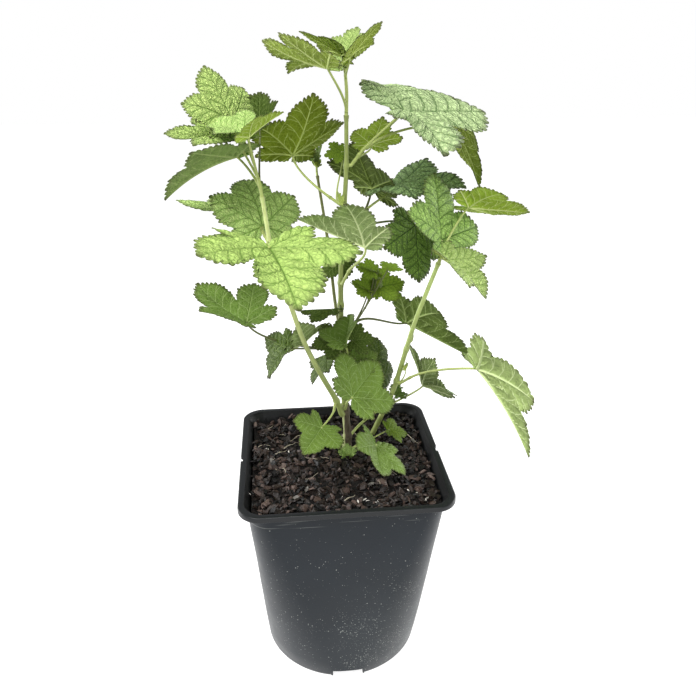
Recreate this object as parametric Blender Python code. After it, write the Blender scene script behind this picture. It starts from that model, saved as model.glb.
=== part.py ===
# Potted currant bush: square-rimmed nursery pot, bark compost, woody foot, four shoots, masses of leaves.
# Metres, +Z up, origin at the middle of the pot's underside, the photo's camera stands towards -Y.
import math
import random

import bmesh
import bpy
import numpy as np
from mathutils import Vector

for old in list(bpy.data.objects):
    bpy.data.objects.remove(old, do_unlink=True)

mm = 0.001
clear = 0.35 * mm  # air kept between two nodes

# pot
potHeight = 178 * mm
rimHalf = 80 * mm
rimCorner = 16 * mm
rimSkirt = 4.5 * mm
neckHalf = 73.6 * mm
neckCorner = 14 * mm
lipHalf = 75.4 * mm
footRadius = 65.5 * mm
wall = 1.4 * mm
floorThick = 2.0 * mm
notchWide, notchHigh, notchDeep = 25 * mm, 6 * mm, 12 * mm
slotLong, slotWide = 7 * mm, 1.6 * mm
ringPoints = 36

# compost
soilTop = 171 * mm
soilLump = 1.2 * mm
soilSeed = 7

# foliage
leafThick = 0.8 * mm
petioleRoot, petioleTip = 1.0 * mm, 0.8 * mm
lobeAngles = (0, 52, -52, 108, -108)
lobeLengths = (1.0, 0.88, 0.88, 0.54, 0.54)
shoots = {
    'trunk': dict(points=[(7, 15, 171.3), (7, 13, 190), (5, 11, 217)], radii=(3.3, 2.8), sides=10),
    'centre_shoot': dict(points=[(5, 11, 217.4), (3, 11, 257), (2, 12, 300), (3, 13, 346), (6, 10, 400),
                                 (6, 7, 441)],
                         radii=(2.5, 1.4), sides=8),
    'left_shoot': dict(limb='trunk', at=0.84, heading=225, radii=(2.2, 1.4), sides=8,
                       points=[(-3, 3, 226), (-14, -3, 250), (-27, -8, 281), (-38, -11, 318), (-47, -11, 345),
                               (-53, -7, 390)]),
    'right_shoot': dict(points=[(32, 39, 171.3), (47, 30, 216), (53, 22, 247), (60, 12, 286), (66, 4, 312),
                                (72, -6, 339)],
                        radii=(2.3, 1.5), sides=8),
    'rear_shoot': dict(limb='centre_shoot', at=0.3, heading=105, radii=(1.4, 1.1), sides=6,
                       points=[(-1, 30, 300), (-5, 48, 345), (-11, 67, 390)]),
}

# Each mass: the limb it springs from and how far up (1 is the tip), the compass heading of its stem
# (0 is the photo's right, 270 is towards the camera), the stem's further points, and its leaves:
# base x, y, z, heading of the midrib, dip, roll, length, fold, curl of the tip, of the left and of the
# right lobe, spread of the lobes, and where along the stem the stalk is rooted.
masses = {
    'top_leaves': dict(limb='centre_shoot', at=1, points=[(6, 5, 456), (5, 3, 467)],
                       radii=(1.3, 1.1), leaves=[
        (-8, -11, 472, 167, -11, 3, 43, 21, -20, -13, 70, 38, 0.1),
        (3, 7, 479, 172, -32, 12, 30, 10, 12, 20, 23, 60, 0.9),
        (6, -12, 478, 345, -50, 2, 28, 3, 10, 36, -8, 55, 0.9),
        (8, 34, 478, 49, -57, -11, 22, 17, 9, 0, 15, 51, 0.9),
    ]),
    'left_tip_leaves': dict(limb='left_shoot', at=1, points=[(-54, -7, 398), (-55, -7, 403)],
                            radii=(1.4, 1.2), leaves=[
        (-70, 4, 438, 142, -64, -4, 40, 4, 15, 54, 23, 50, 0.6),
        (-66, 12, 428, 186, -2, -1, 49, 12, -5, 28, -4, 44, 0.5),
        (-62, -17, 434, 156, -12, -7, 26, 27, 3, 42, -1, 64, 0.9),
        (-59, -25, 432, 5, -39, -18, 26, 16, 10, 12, 15, 63, 0.9),
        (-70, 10, 415, 189, 13, 13, 56, 7, 30, -10, 7, 55, 0.2),
        (-53, 19, 434, 85, -51, -5, 24, 51, -6, 15, 8, 59, 0.5),
    ]),
    'left_fan_leaves': dict(limb='left_shoot', at=0.78, heading=250, points=[(-50, -20, 361)],
                            radii=(1.3, 1.1), leaves=[
        (-49, -53, 368, 285, 6, -4, 66, 16, 20, 16, 6, 59, 0.9),
    ]),
    'left_middle_leaves': dict(limb='left_shoot', at=0.84, heading=110, points=[(-54, 2, 364)],
                               radii=(1.3, 1.1), leaves=[
        (-54, 12, 365, 107, -56, 10, 47, 2, 42, 17, 14, 53, 0.9),
        (-66, 49, 368, 181, -2, 2, 52, 16, -15, 6, 16, 57, 0.6),
    ]),
    'upper_left_leaves': dict(limb='centre_shoot', at=0.72, heading=130, points=[(-5, 22, 383)],
                              radii=(1.2, 1.1), leaves=[
        (-30, 51, 409, 304, -48, -12, 50, 23, -26, 6, 42, 55, 0.9),
    ]),
    'upper_right_leaves': dict(limb='centre_shoot', at=0.85, heading=0, points=[(15, 8, 415)],
                               radii=(1.3, 1.1), leaves=[
        (43, -8, 445, 20, 2, 21, 63, 26, -1, 65, 51, 90, 0.9),
        (27, 31, 418, 286, -43, -9, 26, 9, -22, 28, 21, 51, 0.5),
        (91, 44, 429, 310, 48, -52, 50, 4, 16, -10, 17, 53, 0.9),
        (54, 62, 437, 59, 10, 19, 46, 8, 20, 16, 16, 52, 0.5),
    ]),
    'right_inner_leaves': dict(limb='centre_shoot', at=0.6, heading=45, points=[(15, 24, 360), (22, 32, 369)],
                               radii=(1.4, 1.1), leaves=[
        (32, 61, 381, 230, -54, -17, 46, 3, -4, 10, 36, 54, 0.95),
        (46, 52, 383, 341, -18, -9, 56, 12, 32, -23, 54, 60, 0.95),
        (64, 44, 355, 273, 63, -31, 44, 0, -1, 26, 4, 59, 0.3),
    ]),
    'right_tip_leaves': dict(limb='right_shoot', at=1, points=[(73, -9, 347)], radii=(1.4, 1.2), leaves=[
        (73, -8, 357, 94, -62, 44, 48, 21, 4, 40, 10, 71, 0.9),
        (95, 6, 377, 346, 3, -33, 42, 17, 0, 7, 27, 57, 0.6),
        (71, -28, 349, 335, 29, -11, 39, 23, 17, -18, 51, 44, 0.9),
        (99, 39, 341, 19, 51, 22, 46, 8, 20, 16, 16, 52, 0.5),
    ]),
    'centre_leaves': dict(limb='centre_shoot', at=0.46, heading=280, points=[(7, -3, 335)],
                          radii=(1.2, 1.0), leaves=[
        (15, -30, 360, 172, -22, 32, 48, 35, -1, 32, 17, 55, 0.9),
    ]),
    'mid_right_leaves': dict(limb='centre_shoot', at=0.28, heading=0, points=[(15, 12, 290), (26, 11, 309)],
                             radii=(1.4, 1.0), leaves=[
        (30, 20, 326, 162, -26, 22, 18, 9, 11, 45, -1, 48, 1),
        (37, 6, 332, 53, -1, 18, 12, 19, -8, 31, 10, 53, 1),
        (37, 22, 310, 25, -6, 26, 17, 13, 16, 21, 25, 56, 0.95),
        (24, 15, 312, 157, -19, 31, 16, 1, -5, 10, 23, 52, 0.95),
        (60, 44, 273, 329, 18, -45, 58, 26, 4, 1, 29, 57, 0.3),
    ]),
    'left_low_leaves': dict(limb='centre_shoot', at=0.21, heading=175, points=[(-10, 14, 265)],
                            radii=(1.2, 1.0), leaves=[
        (-69, 0, 296, 150, -18, 3, 48, 29, -22, 16, 7, 62, 0.9),
        (-40, -8, 277, 166, 44, -15, 31, 20, 32, 24, -11, 53, 0.9),
        (-28, 12, 271, 278, -35, 26, 31, 18, -51, 27, 38, 60, 0.9),
    ]),
    'low_centre_leaves': dict(limb='centre_shoot', at=0.12, heading=285, points=[(6, 1, 262)],
                              radii=(1.2, 1.0), leaves=[
        (3, -14, 281, 74, -34, -27, 26, 51, -4, 17, 11, 64, 0.95),
    ]),
    'left_inner_leaves': dict(limb='centre_shoot', at=0.38, heading=260, points=[(2, 0, 302)],
                              radii=(1.1, 1.0), leaves=[
        (-6, -5, 306, 163, 8, 10, 24, -8, -6, 19, 10, 56, 0.9),
    ]),
    'low_rear_leaves': dict(limb='centre_shoot', at=0.06, heading=80, points=[(6, 24, 230)],
                            radii=(1.2, 1.0), leaves=[
        (-4, 50, 244, 206, 35, 35, 29, 4, 26, 50, -27, 55, 0.9),
        (30, 38, 224, 46, -49, 81, 40, 0, 38, 35, 19, 57, 0.9),
        (26, 81, 211, 85, 16, -35, 42, 8, 20, 16, 16, 52, 0.9),
    ]),
    'front_low_leaves': dict(limb='trunk', at=0.965, heading=265, points=[(5, -6, 227)],
                             radii=(1.2, 1.0), leaves=[
        (6, -37, 249, 59, -12, 47, 40, 16, -23, 20, 2, 50, 0.9),
    ]),
    'right_low_leaves': dict(limb='right_shoot', at=0.34, heading=300, points=[(59, 16, 236)],
                             radii=(1.3, 1.1), leaves=[
        (98, -40, 269, 313, 37, -55, 70, 15, 20, -7, 26, 47, 0.9),
    ]),
    'right_rear_leaves': dict(limb='trunk', at=0.295, heading=40,
                              points=[(20, 29, 187), (33, 41, 190), (47, 46, 195)], radii=(1.2, 1.0), leaves=[
        (78, 51, 210, 249, -35, -38, 52, 31, -49, 24, 15, 32, 0.9),
    ]),
    'foot_left_leaves': dict(limb='left_shoot', at=0.1, heading=240, points=[(-5, -4, 220)],
                             radii=(1.1, 1.0), leaves=[
        (-16, -18, 213, 241, 10, -32, 28, 25, 17, 0, 27, 57, 0.9),
    ]),
    'foot_right_leaves': dict(limb='trunk', at=0.085, heading=320, points=[(19, 6, 182)],
                              radii=(1.2, 1.0), leaves=[
        (27, -18, 195, 265, 9, -46, 37, 17, -16, -2, 28, 44, 0.9),
        (43, 16, 188, 14, 22, 14, 17, 11, 3, 7, 25, 60, 0.6),
    ]),
    'rear_leaves': dict(limb='rear_shoot', at=1, points=[(-11, 76, 397)], radii=(1.0, 0.9), leaves=[
        (-30, 94, 420, 123, 7, -2, 44, 8, 20, 16, 16, 52, 0.9),
    ]),
    'rear_middle_leaves': dict(limb='rear_shoot', at=0.5, heading=70, points=[(4, 52, 340)],
                               radii=(1.0, 0.9), leaves=[
        (13, 84, 343, 79, 8, 3, 42, 8, 20, 16, 16, 52, 0.9),
        (-13, 80, 334, 112, 6, 7, 38, 8, 20, 16, 16, 52, 0.9),
    ]),
    'rear_left_leaves': dict(limb='left_shoot', at=0.68, heading=90, points=[(-48, 10, 338)],
                             radii=(1.1, 1.0), leaves=[
        (-60, 62, 348, 116, 14, 0, 50, 8, 20, 16, 16, 52, 0.9),
    ]),
    'rear_right_leaves': dict(limb='right_shoot', at=0.53, heading=80, points=[(62, 32, 262)],
                              radii=(1.1, 1.0), leaves=[
        (71, 88, 267, 76, 18, 29, 40, 8, 20, 16, 16, 52, 0.9),
    ]),
}


# material slots
def makeMaterial(name, colour, roughness):
    m = bpy.data.materials.new(name)
    m.use_nodes = True
    bsdf = m.node_tree.nodes['Principled BSDF']
    bsdf.inputs['Base Color'].default_value = (*colour, 1)
    bsdf.inputs['Roughness'].default_value = roughness
    return m


potPlastic = makeMaterial('pot_plastic', (0.05, 0.055, 0.06), 0.45)
barkCompost = makeMaterial('bark_compost', (0.03, 0.022, 0.018), 0.9)
woodyBark = makeMaterial('woody_bark', (0.16, 0.13, 0.07), 0.7)
greenBark = makeMaterial('green_bark', (0.35, 0.42, 0.14), 0.55)
leafGreen = makeMaterial('leaf_green', (0.17, 0.3, 0.06), 0.6)


# a named mesh object from a bmesh, normals outwards
def solidObject(name, bm, material):
    bmesh.ops.recalc_face_normals(bm, faces=bm.faces)
    mesh = bpy.data.meshes.new(name)
    bm.to_mesh(mesh)
    bm.free()
    mesh.materials.append(material)
    obj = bpy.data.objects.new(name, mesh)
    bpy.context.collection.objects.link(obj)
    return obj


# a closed solid lofted through rings of equal count, ends filled
def loftSolid(name, rings, material):
    bm = bmesh.new()
    loops = [[bm.verts.new(tuple(float(c) for c in p)) for p in ring] for ring in rings]
    count = len(loops[0])
    for low, high in zip(loops, loops[1:]):
        for i in range(count):
            j = (i + 1) % count
            bm.faces.new((low[i], low[j], high[j], high[i]))
    bm.faces.new(loops[0])
    bm.faces.new(loops[-1])
    return solidObject(name, bm, material)


# the pot's section: a square of the given half size with rounded corners
def roundedSquare(half, corner, z, count=ringPoints):
    corner = min(corner, half)
    side = half - corner
    perQuarter = count // 4
    ring = []
    for q in range(4):
        cx, cy = [(side, side), (-side, side), (-side, -side), (side, -side)][q]
        for k in range(perQuarter):
            a = math.radians(90 * q + 90 * k / (perQuarter - 1))
            ring.append((cx + corner * math.cos(a), cy + corner * math.sin(a), z))
    return ring


# half size and corner radius of the pot's outer wall at a height, square above and round at the foot
def wallSection(z):
    t = z / (potHeight - rimSkirt)
    half = footRadius + (neckHalf - footRadius) * t
    corner = footRadius + (neckCorner - footRadius) * t ** 0.85
    return half, corner


def applyBoolean(obj, other, operation, isCollection=False, solver='EXACT'):
    mod = obj.modifiers.new('join', 'BOOLEAN')
    mod.operation = operation
    mod.solver = solver
    if isCollection:
        mod.operand_type = 'COLLECTION'
        mod.collection = other
    else:
        mod.object = other
    bpy.context.view_layer.objects.active = obj
    bpy.ops.object.modifier_apply(modifier=mod.name)


cutters = bpy.data.collections.new('cutters')
bpy.context.scene.collection.children.link(cutters)


# a box or a cylinder used to cut or to be fused, kept out of the part's own collection
def cutterBox(size, place, turn=0.0):
    bpy.ops.mesh.primitive_cube_add(size=1, location=place, rotation=(0, 0, turn))
    box = bpy.context.object
    box.scale = size
    bpy.ops.object.transform_apply(location=True, rotation=True, scale=True)
    return moveToCutters(box)


def cutterCylinder(radius, depth, place, sides=16):
    bpy.ops.mesh.primitive_cylinder_add(vertices=sides, radius=radius, depth=depth, location=place)
    bpy.ops.object.transform_apply(location=True, rotation=True, scale=True)
    return moveToCutters(bpy.context.object)


def moveToCutters(obj):
    for c in list(obj.users_collection):
        c.objects.unlink(obj)
    cutters.objects.link(obj)
    obj.hide_render = True
    obj.display_type = 'WIRE'
    return obj


def dropCutters():
    for obj in list(cutters.objects):
        bpy.data.objects.remove(obj, do_unlink=True)


# pot: one closed skin from the inner floor up the inner wall, over the lip, down the skirt and the outer wall
def buildPot():
    underRim = potHeight - rimSkirt
    rings = []
    for z in np.linspace(floorThick, underRim - 1 * mm, 5):
        half, corner = wallSection(float(z))
        rings.append(roundedSquare(half - wall, corner - wall, float(z)))
    rings.append(roundedSquare(lipHalf, rimCorner - 3 * mm, potHeight - 0.6 * mm))
    rings.append(roundedSquare(lipHalf + 0.6 * mm, rimCorner - 2.4 * mm, potHeight))
    rings.append(roundedSquare(rimHalf - 0.8 * mm, rimCorner, potHeight))
    rings.append(roundedSquare(rimHalf, rimCorner, potHeight - 0.8 * mm))
    rings.append(roundedSquare(rimHalf, rimCorner, potHeight - rimSkirt))
    rings.append(roundedSquare(rimHalf - 1.3 * mm, rimCorner - 1 * mm, potHeight - rimSkirt))
    rings.append(roundedSquare(rimHalf - 1.3 * mm, rimCorner - 1 * mm, potHeight - 1.4 * mm))
    rings.append(roundedSquare(lipHalf + wall, rimCorner - 1.6 * mm, potHeight - 1.4 * mm))
    for z in np.linspace(underRim - 1 * mm, 0, 6):
        half, corner = wallSection(float(z))
        rings.append(roundedSquare(half, corner, float(z)))
    pot = loftSolid('pot', rings, potPlastic)
    reach = footRadius - 0.4 * mm
    for q in range(4):
        turn = math.radians(90 * q)
        mid = (reach - notchDeep / 2 - 0.8 * mm) * Vector((math.cos(turn), math.sin(turn), 0))
        bump = cutterBox((notchDeep + 2.4 * mm, notchWide + 2.8 * mm, notchHigh + 1.4 * mm),
                         (mid.x, mid.y, (notchHigh + 1.4 * mm) / 2 + 0.3 * mm), turn)
        applyBoolean(pot, bump, 'UNION')
    for q in range(4):
        turn = math.radians(90 * q)
        mid = (reach - notchDeep / 2 + 5 * mm) * Vector((math.cos(turn), math.sin(turn), 0))
        notch = cutterBox((notchDeep + 10 * mm, notchWide, notchHigh * 2), (mid.x, mid.y, 0), turn)
        applyBoolean(pot, notch, 'DIFFERENCE')
        hole = (reach - notchDeep / 2 - 1 * mm) * Vector((math.cos(turn), math.sin(turn), 0))
        applyBoolean(pot, cutterCylinder(3 * mm, 6 * mm, (hole.x, hole.y, notchHigh + 1 * mm)), 'DIFFERENCE')
    for sign in (-1, 1):
        slot = cutterBox((slotWide, slotLong, 3 * mm), (sign * (rimHalf - 2.2 * mm), 0, potHeight))
        applyBoolean(pot, slot, 'DIFFERENCE')
    dropCutters()
    return pot


# compost: fills the pot a hair clear of its wall and of the floor's bumps, with a lumpy top
def buildSoil():
    gap = clear
    base = floorThick + notchHigh + 1.2 * mm
    rings = []
    for z in (base, 60 * mm, 115 * mm, soilTop - 1 * mm):
        half, corner = wallSection(z)
        rings.append(roundedSquare(half - wall - gap, corner - wall, z))
    rng = random.Random(soilSeed)
    half, corner = wallSection(soilTop)
    bm = bmesh.new()
    loops = [[bm.verts.new(p) for p in ring] for ring in rings]
    for share in (0.99, 0.86, 0.7, 0.54, 0.38, 0.2):
        ring = roundedSquare((half - wall - gap) * share, (corner - wall) * share, soilTop - 0.4 * mm)
        if share < 0.98:
            ring = [(x, y, z + (rng.random() - 0.75) * soilLump) for x, y, z in ring]
        loops.append([bm.verts.new((x, y, min(z, soilTop - 0.05 * mm))) for x, y, z in ring])
    for low, high in zip(loops, loops[1:]):
        for i in range(ringPoints):
            j = (i + 1) % ringPoints
            bm.faces.new((low[i], low[j], high[j], high[i]))
    top = bm.verts.new((0, 0, soilTop - 0.3 * mm))
    for i in range(ringPoints):
        bm.faces.new((loops[-1][i], loops[-1][(i + 1) % ringPoints], top))
    bm.faces.new(loops[0])
    return solidObject('soil', bm, barkCompost)


# a smooth run through the given points, with its tangents
def smoothPath(points, step=12 * mm):
    pts = [np.array(p, float) for p in points]
    if len(pts) == 2:
        pts = [pts[0], (pts[0] + pts[1]) / 2, pts[1]]
    ghost = [2 * pts[0] - pts[1]] + pts + [2 * pts[-1] - pts[-2]]
    run = []
    for k in range(1, len(ghost) - 2):
        a, b, c, d = ghost[k - 1:k + 3]
        count = max(1, int(round(np.linalg.norm(c - b) / step)))
        for i in range(count):
            t = i / count
            run.append(0.5 * (2 * b + (c - a) * t + (2 * a - 5 * b + 4 * c - d) * t * t
                              + (3 * b - a - 3 * c + d) * t ** 3))
    run.append(pts[-1])
    run = np.array(run)
    tangent = np.gradient(run, axis=0)
    tangent /= np.linalg.norm(tangent, axis=1)[:, None]
    return run, tangent


# rings of a round, tapering limb along a run
def tubeRings(run, tangent, rootRadius, tipRadius, sides):
    side = np.cross(tangent[0], (0.31, 0.95, 0.05))
    side /= np.linalg.norm(side)
    length = np.concatenate([[0], np.cumsum(np.linalg.norm(np.diff(run, axis=0), axis=1))])
    share = length / length[-1]
    rings = []
    for p, t, s in zip(run, tangent, share):
        side = side - t * np.dot(side, t)
        side /= np.linalg.norm(side)
        other = np.cross(t, side)
        r = rootRadius + (tipRadius - rootRadius) * s
        rings.append([p + r * (side * math.cos(a) + other * math.sin(a))
                      for a in np.linspace(0, 2 * math.pi, sides, endpoint=False)])
    return rings


# where a stem leaves the side of its limb: flat end turned to the limb, a hair clear of it
def springPoint(limb, at, heading):
    run, tangent, radii = limb
    length = np.concatenate([[0], np.cumsum(np.linalg.norm(np.diff(run, axis=0), axis=1))])
    share = length / length[-1]
    p = np.array([np.interp(at, share, run[:, i]) for i in range(3)])
    t = np.array([np.interp(at, share, tangent[:, i]) for i in range(3)])
    t /= np.linalg.norm(t)
    radius = radii[0] + (radii[1] - radii[0]) * at
    if at >= 1:
        return p + t * clear, t
    a = math.radians(heading)
    out = np.array((math.cos(a), math.sin(a), 0.0))
    out -= t * np.dot(out, t)
    out /= np.linalg.norm(out)
    return p + out * (radius + clear), out


limbs = {}


# a limb's run: from the soil or from the limb it springs from, through its points
def limbRun(spec):
    points = [np.array(p, float) * mm for p in spec['points']]
    if 'limb' in spec:
        start, out = springPoint(limbs[spec['limb']], spec['at'], spec.get('heading', 0))
        run, tangent = smoothPath([start + out * 1.6 * mm] + points)
        run = np.vstack([start, run])
        tangent = np.vstack([out, tangent])
        tangent[1] = tangent[1] + out
        tangent[1] /= np.linalg.norm(tangent[1])
    else:
        run, tangent = smoothPath(points)
        tangent[0] = (0, 0, 1)
    return run, tangent


def buildLimb(name, spec, material):
    run, tangent = limbRun(spec)
    root, tip = spec['radii'][0] * mm, spec['radii'][1] * mm
    limbs[name] = (run, tangent, (root, tip))
    return loftSolid(name, tubeRings(run, tangent, root, tip, spec['sides']), material)


# distance of the blade's edge from its base, as a share of the leaf's length, at an angle from the midrib
def bladeEdge(angle):
    reach = 0.0
    for centre, long in zip(lobeAngles, lobeLengths):
        off = abs((angle - centre + 180) % 360 - 180)
        if off < 60:
            width = 26 if abs(centre) < 60 else 23
            lobe = 0.94 * (1 - 0.20 * (off / width) ** 2.3) + 0.06 * math.exp(-(off / 6) ** 2)
            reach = max(reach, long * lobe)
    turn = abs(angle)
    if 120 < turn < 165:
        reach = max(reach, 0.28)
    return reach * (1 - 0.93 * min(max((turn - 138) / 40, 0), 1) ** 1.5)


# heading, dip and roll in degrees as a turning matrix
def leafFrame(heading, dip, roll):
    h, d, r = (math.radians(v) for v in (heading, dip, roll))
    turnZ = np.array([[math.cos(h), -math.sin(h), 0], [math.sin(h), math.cos(h), 0], [0, 0, 1]])
    turnY = np.array([[math.cos(d), 0, math.sin(d)], [0, 1, 0], [-math.sin(d), 0, math.cos(d)]])
    turnX = np.array([[1, 0, 0], [0, math.cos(r), -math.sin(r)], [0, math.sin(r), math.cos(r)]])
    return turnZ @ turnY @ turnX


# where a spot of the flat blade goes: the lobes curl down by their own amounts, the halves fold up
def bladeSpot(leaf, angle, reach, lift=0.0):
    x, y, z, heading, dip, roll, long, fold, curl, left, right, spread, root = leaf
    knots = (-180, -108, -52, 0, 52, 108, 180)
    bends = (0.2 * (left + right), 0.75 * right, right, curl, left, 0.75 * left, 0.2 * (left + right))
    bend = math.radians(float(np.interp(angle, knots, bends))) + 1e-6
    slope = math.radians(fold) * abs(math.sin(math.radians(angle)))
    basal = min(108 + 0.6 * (spread - 52), 150)
    sideways = float(np.interp(abs(angle), (0, 52, 108, 180), (0, spread, basal, 180)))
    turned = math.radians(math.copysign(sideways, angle))
    pitch = bend * reach - slope
    outward = (math.sin(pitch) + math.sin(slope)) / bend * long * mm - lift * math.sin(-pitch)
    height = (math.cos(pitch) - math.cos(slope)) / bend * long * mm + lift * math.cos(pitch)
    local = np.array((outward * math.cos(turned), outward * math.sin(turned), height))
    return np.array((x, y, z)) * mm + leafFrame(heading, dip, roll) @ local


# one blade: an even skin between the upper and lower side, cut to the lobed outline
bladeAngles = (0, 13, 27, 39, 52, 66, 82, 91, 108, 126, 146, 170)


def buildBlade(name, leaf):
    angles = [-a for a in reversed(bladeAngles)] + list(bladeAngles[1:])
    bm = bmesh.new()
    sides = []
    for lift in (leafThick / 2, -leafThick / 2):
        centre = bm.verts.new(tuple(bladeSpot(leaf, 0, 0, lift)))
        inner = [bm.verts.new(tuple(bladeSpot(leaf, a, bladeEdge(a) * 0.5, lift))) for a in angles[::2]]
        outer = [bm.verts.new(tuple(bladeSpot(leaf, a, bladeEdge(a), lift))) for a in angles]
        sides.append((centre, inner, outer))
    for centre, inner, outer in sides:
        for i in range(len(inner) - 1):
            bm.faces.new((centre, inner[i], inner[i + 1]))
            a, b, c = outer[2 * i:2 * i + 3]
            bm.faces.new((inner[i], a, b))
            bm.faces.new((inner[i], b, inner[i + 1]))
            bm.faces.new((inner[i + 1], b, c))
        bm.faces.new((centre, inner[-1], outer[-1]))
        bm.faces.new((centre, outer[-1], outer[0]))
        bm.faces.new((centre, outer[0], inner[0]))
    upper, lower = sides[0][2], sides[1][2]
    for i in range(len(upper)):
        j = (i + 1) % len(upper)
        bm.faces.new((upper[i], upper[j], lower[j], lower[i]))
    return solidObject(name, bm, leafGreen)


# one leaf stalk from a spot inside the stem to just through the blade's base
def buildPetiole(name, start, startWay, leaf):
    frame = leafFrame(leaf[3], leaf[4], leaf[5])
    base = np.array(leaf[:3]) * mm
    arrive = 0.64 * frame[:, 0] + 0.77 * frame[:, 2]
    end = base + arrive * 0.7 * mm
    gap = np.linalg.norm(end - start)
    a, b = start + startWay * 0.25 * gap, end - arrive * 0.22 * gap
    count = max(3, int(gap / (13 * mm)))
    ts = np.linspace(0, 1, count + 1)
    run = np.array([(1 - t) ** 3 * start + 3 * (1 - t) ** 2 * t * a + 3 * (1 - t) * t * t * b + t ** 3 * end
                    for t in ts])
    tangent = np.gradient(run, axis=0)
    tangent /= np.linalg.norm(tangent, axis=1)[:, None]
    return loftSolid(name, tubeRings(run, tangent, petioleRoot, petioleTip, 4), leafGreen)


# a mass: its stem, with every stalk and blade of it joined by one union over a collection
def buildMass(name, spec):
    run, tangent = limbRun(spec)
    root, tip = spec['radii'][0] * mm, spec['radii'][1] * mm
    stem = loftSolid(name, tubeRings(run, tangent, root, tip, 6), leafGreen)
    length = np.concatenate([[0], np.cumsum(np.linalg.norm(np.diff(run, axis=0), axis=1))])
    share = length / length[-1]
    group = bpy.data.collections.new(name + '_bits')
    bpy.context.scene.collection.children.link(group)
    for k, leaf in enumerate(spec['leaves']):
        at = min(leaf[12], 0.97)
        start = np.array([np.interp(at, share, run[:, i]) for i in range(3)])
        way = np.array([np.interp(at, share, tangent[:, i]) for i in range(3)])
        for bit in (buildPetiole(f'{name}_stalk{k}', start, way, leaf), buildBlade(f'{name}_blade{k}', leaf)):
            for c in list(bit.users_collection):
                c.objects.unlink(bit)
            group.objects.link(bit)
    applyBoolean(stem, group, 'UNION', isCollection=True, solver='MANIFOLD')
    for bit in list(group.objects):
        bpy.data.objects.remove(bit, do_unlink=True)
    bpy.data.collections.remove(group)
    keepLargest(stem)
    return stem


# drop any loose scrap left by the union
def keepLargest(obj):
    bm = bmesh.new()
    bm.from_mesh(obj.data)
    left = set(bm.verts)
    islands = []
    while left:
        seed = left.pop()
        island, front = {seed}, [seed]
        while front:
            for e in front.pop().link_edges:
                for w in e.verts:
                    if w in left:
                        left.discard(w)
                        island.add(w)
                        front.append(w)
        islands.append(island)
    islands.sort(key=len, reverse=True)
    for island in islands[1:]:
        bmesh.ops.delete(bm, geom=list(island), context='VERTS')
    bm.to_mesh(obj.data)
    bm.free()


buildPot()
buildSoil()
for limbName, limbSpec in shoots.items():
    buildLimb(limbName, limbSpec, woodyBark if limbName == 'trunk' else greenBark)
for massName, massSpec in masses.items():
    buildMass(massName, massSpec)
bpy.data.collections.remove(cutters)
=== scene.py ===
# Potted currant bush: the looks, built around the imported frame.
# Lengths in the tables are millimetres, mm turns them into Blender's metres.
import math
import random

import bmesh
import bpy
import numpy as np
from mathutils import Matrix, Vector, noise


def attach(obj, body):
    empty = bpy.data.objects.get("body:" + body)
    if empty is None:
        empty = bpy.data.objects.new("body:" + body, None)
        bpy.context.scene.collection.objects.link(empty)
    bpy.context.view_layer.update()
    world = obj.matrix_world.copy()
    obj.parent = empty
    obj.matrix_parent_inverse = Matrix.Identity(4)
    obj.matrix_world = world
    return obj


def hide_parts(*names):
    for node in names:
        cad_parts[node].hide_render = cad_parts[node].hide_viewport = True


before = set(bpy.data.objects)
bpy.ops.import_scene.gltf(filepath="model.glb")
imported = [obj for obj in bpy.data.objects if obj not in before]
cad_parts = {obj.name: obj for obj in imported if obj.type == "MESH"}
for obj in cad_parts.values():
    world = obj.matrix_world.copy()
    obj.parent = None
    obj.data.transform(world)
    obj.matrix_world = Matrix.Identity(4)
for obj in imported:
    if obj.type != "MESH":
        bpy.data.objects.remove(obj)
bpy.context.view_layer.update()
bpy.ops.object.select_all(action='DESELECT')
mm = 0.001
rootBody = 'root'


# shared helpers

def selectOnly(obj):
    bpy.ops.object.select_all(action='DESELECT')
    obj.select_set(True)
    bpy.context.view_layer.objects.active = obj


def startEdit(obj):
    selectOnly(obj)
    bpy.ops.object.mode_set(mode='EDIT')
    bpy.ops.mesh.select_all(action='DESELECT')
    return bmesh.from_edit_mesh(obj.data)


# turns a finished shell's faces outwards and leaves edit mode
def endEdit():
    bpy.ops.mesh.select_all(action='SELECT')
    bpy.ops.mesh.normals_make_consistent(inside=False)
    bpy.ops.object.mode_set(mode='OBJECT')
    bpy.ops.object.select_all(action='DESELECT')


def smoothShade(obj, angle):
    selectOnly(obj)
    bpy.ops.object.shade_smooth_by_angle(angle=math.radians(angle))
    bpy.ops.object.select_all(action='DESELECT')


# a finished piece: rides on the one body, stands for its CAD nodes
def finishPiece(obj, slotName, *nodes):
    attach(obj, rootBody)
    if nodes:
        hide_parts(*nodes)


# one mesh object from arrays, each face with its material slot
def meshFromArrays(name, points, faces, slots, materials, smooth=True):
    mesh = bpy.data.meshes.new(name)
    mesh.from_pydata([tuple(p) for p in points], [], faces)
    for material in materials:
        mesh.materials.append(material)
    mesh.polygons.foreach_set('material_index', slots)
    mesh.polygons.foreach_set('use_smooth', [smooth] * len(mesh.polygons))
    mesh.update()
    obj = bpy.data.objects.new(name, mesh)
    bpy.context.collection.objects.link(obj)
    return obj


# one shape's points and faces join a growing mesh
def addShape(points, faces, shapePoints, shapeFaces):
    start = len(points)
    points.extend(shapePoints)
    faces.extend(tuple(start + i for i in face) for face in shapeFaces)


# shader helpers; a socket takes a link from another socket, or a plain value

def plug(tree, socket, value):
    if isinstance(value, bpy.types.NodeSocket):
        tree.links.new(value, socket)
    else:
        socket.default_value = value


def addNode(tree, kind, inputs=None, **settings):
    node = tree.nodes.new(kind)
    for key, value in settings.items():
        setattr(node, key, value)
    for key, value in (inputs or {}).items():
        plug(tree, node.inputs[key], value)
    return node


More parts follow.
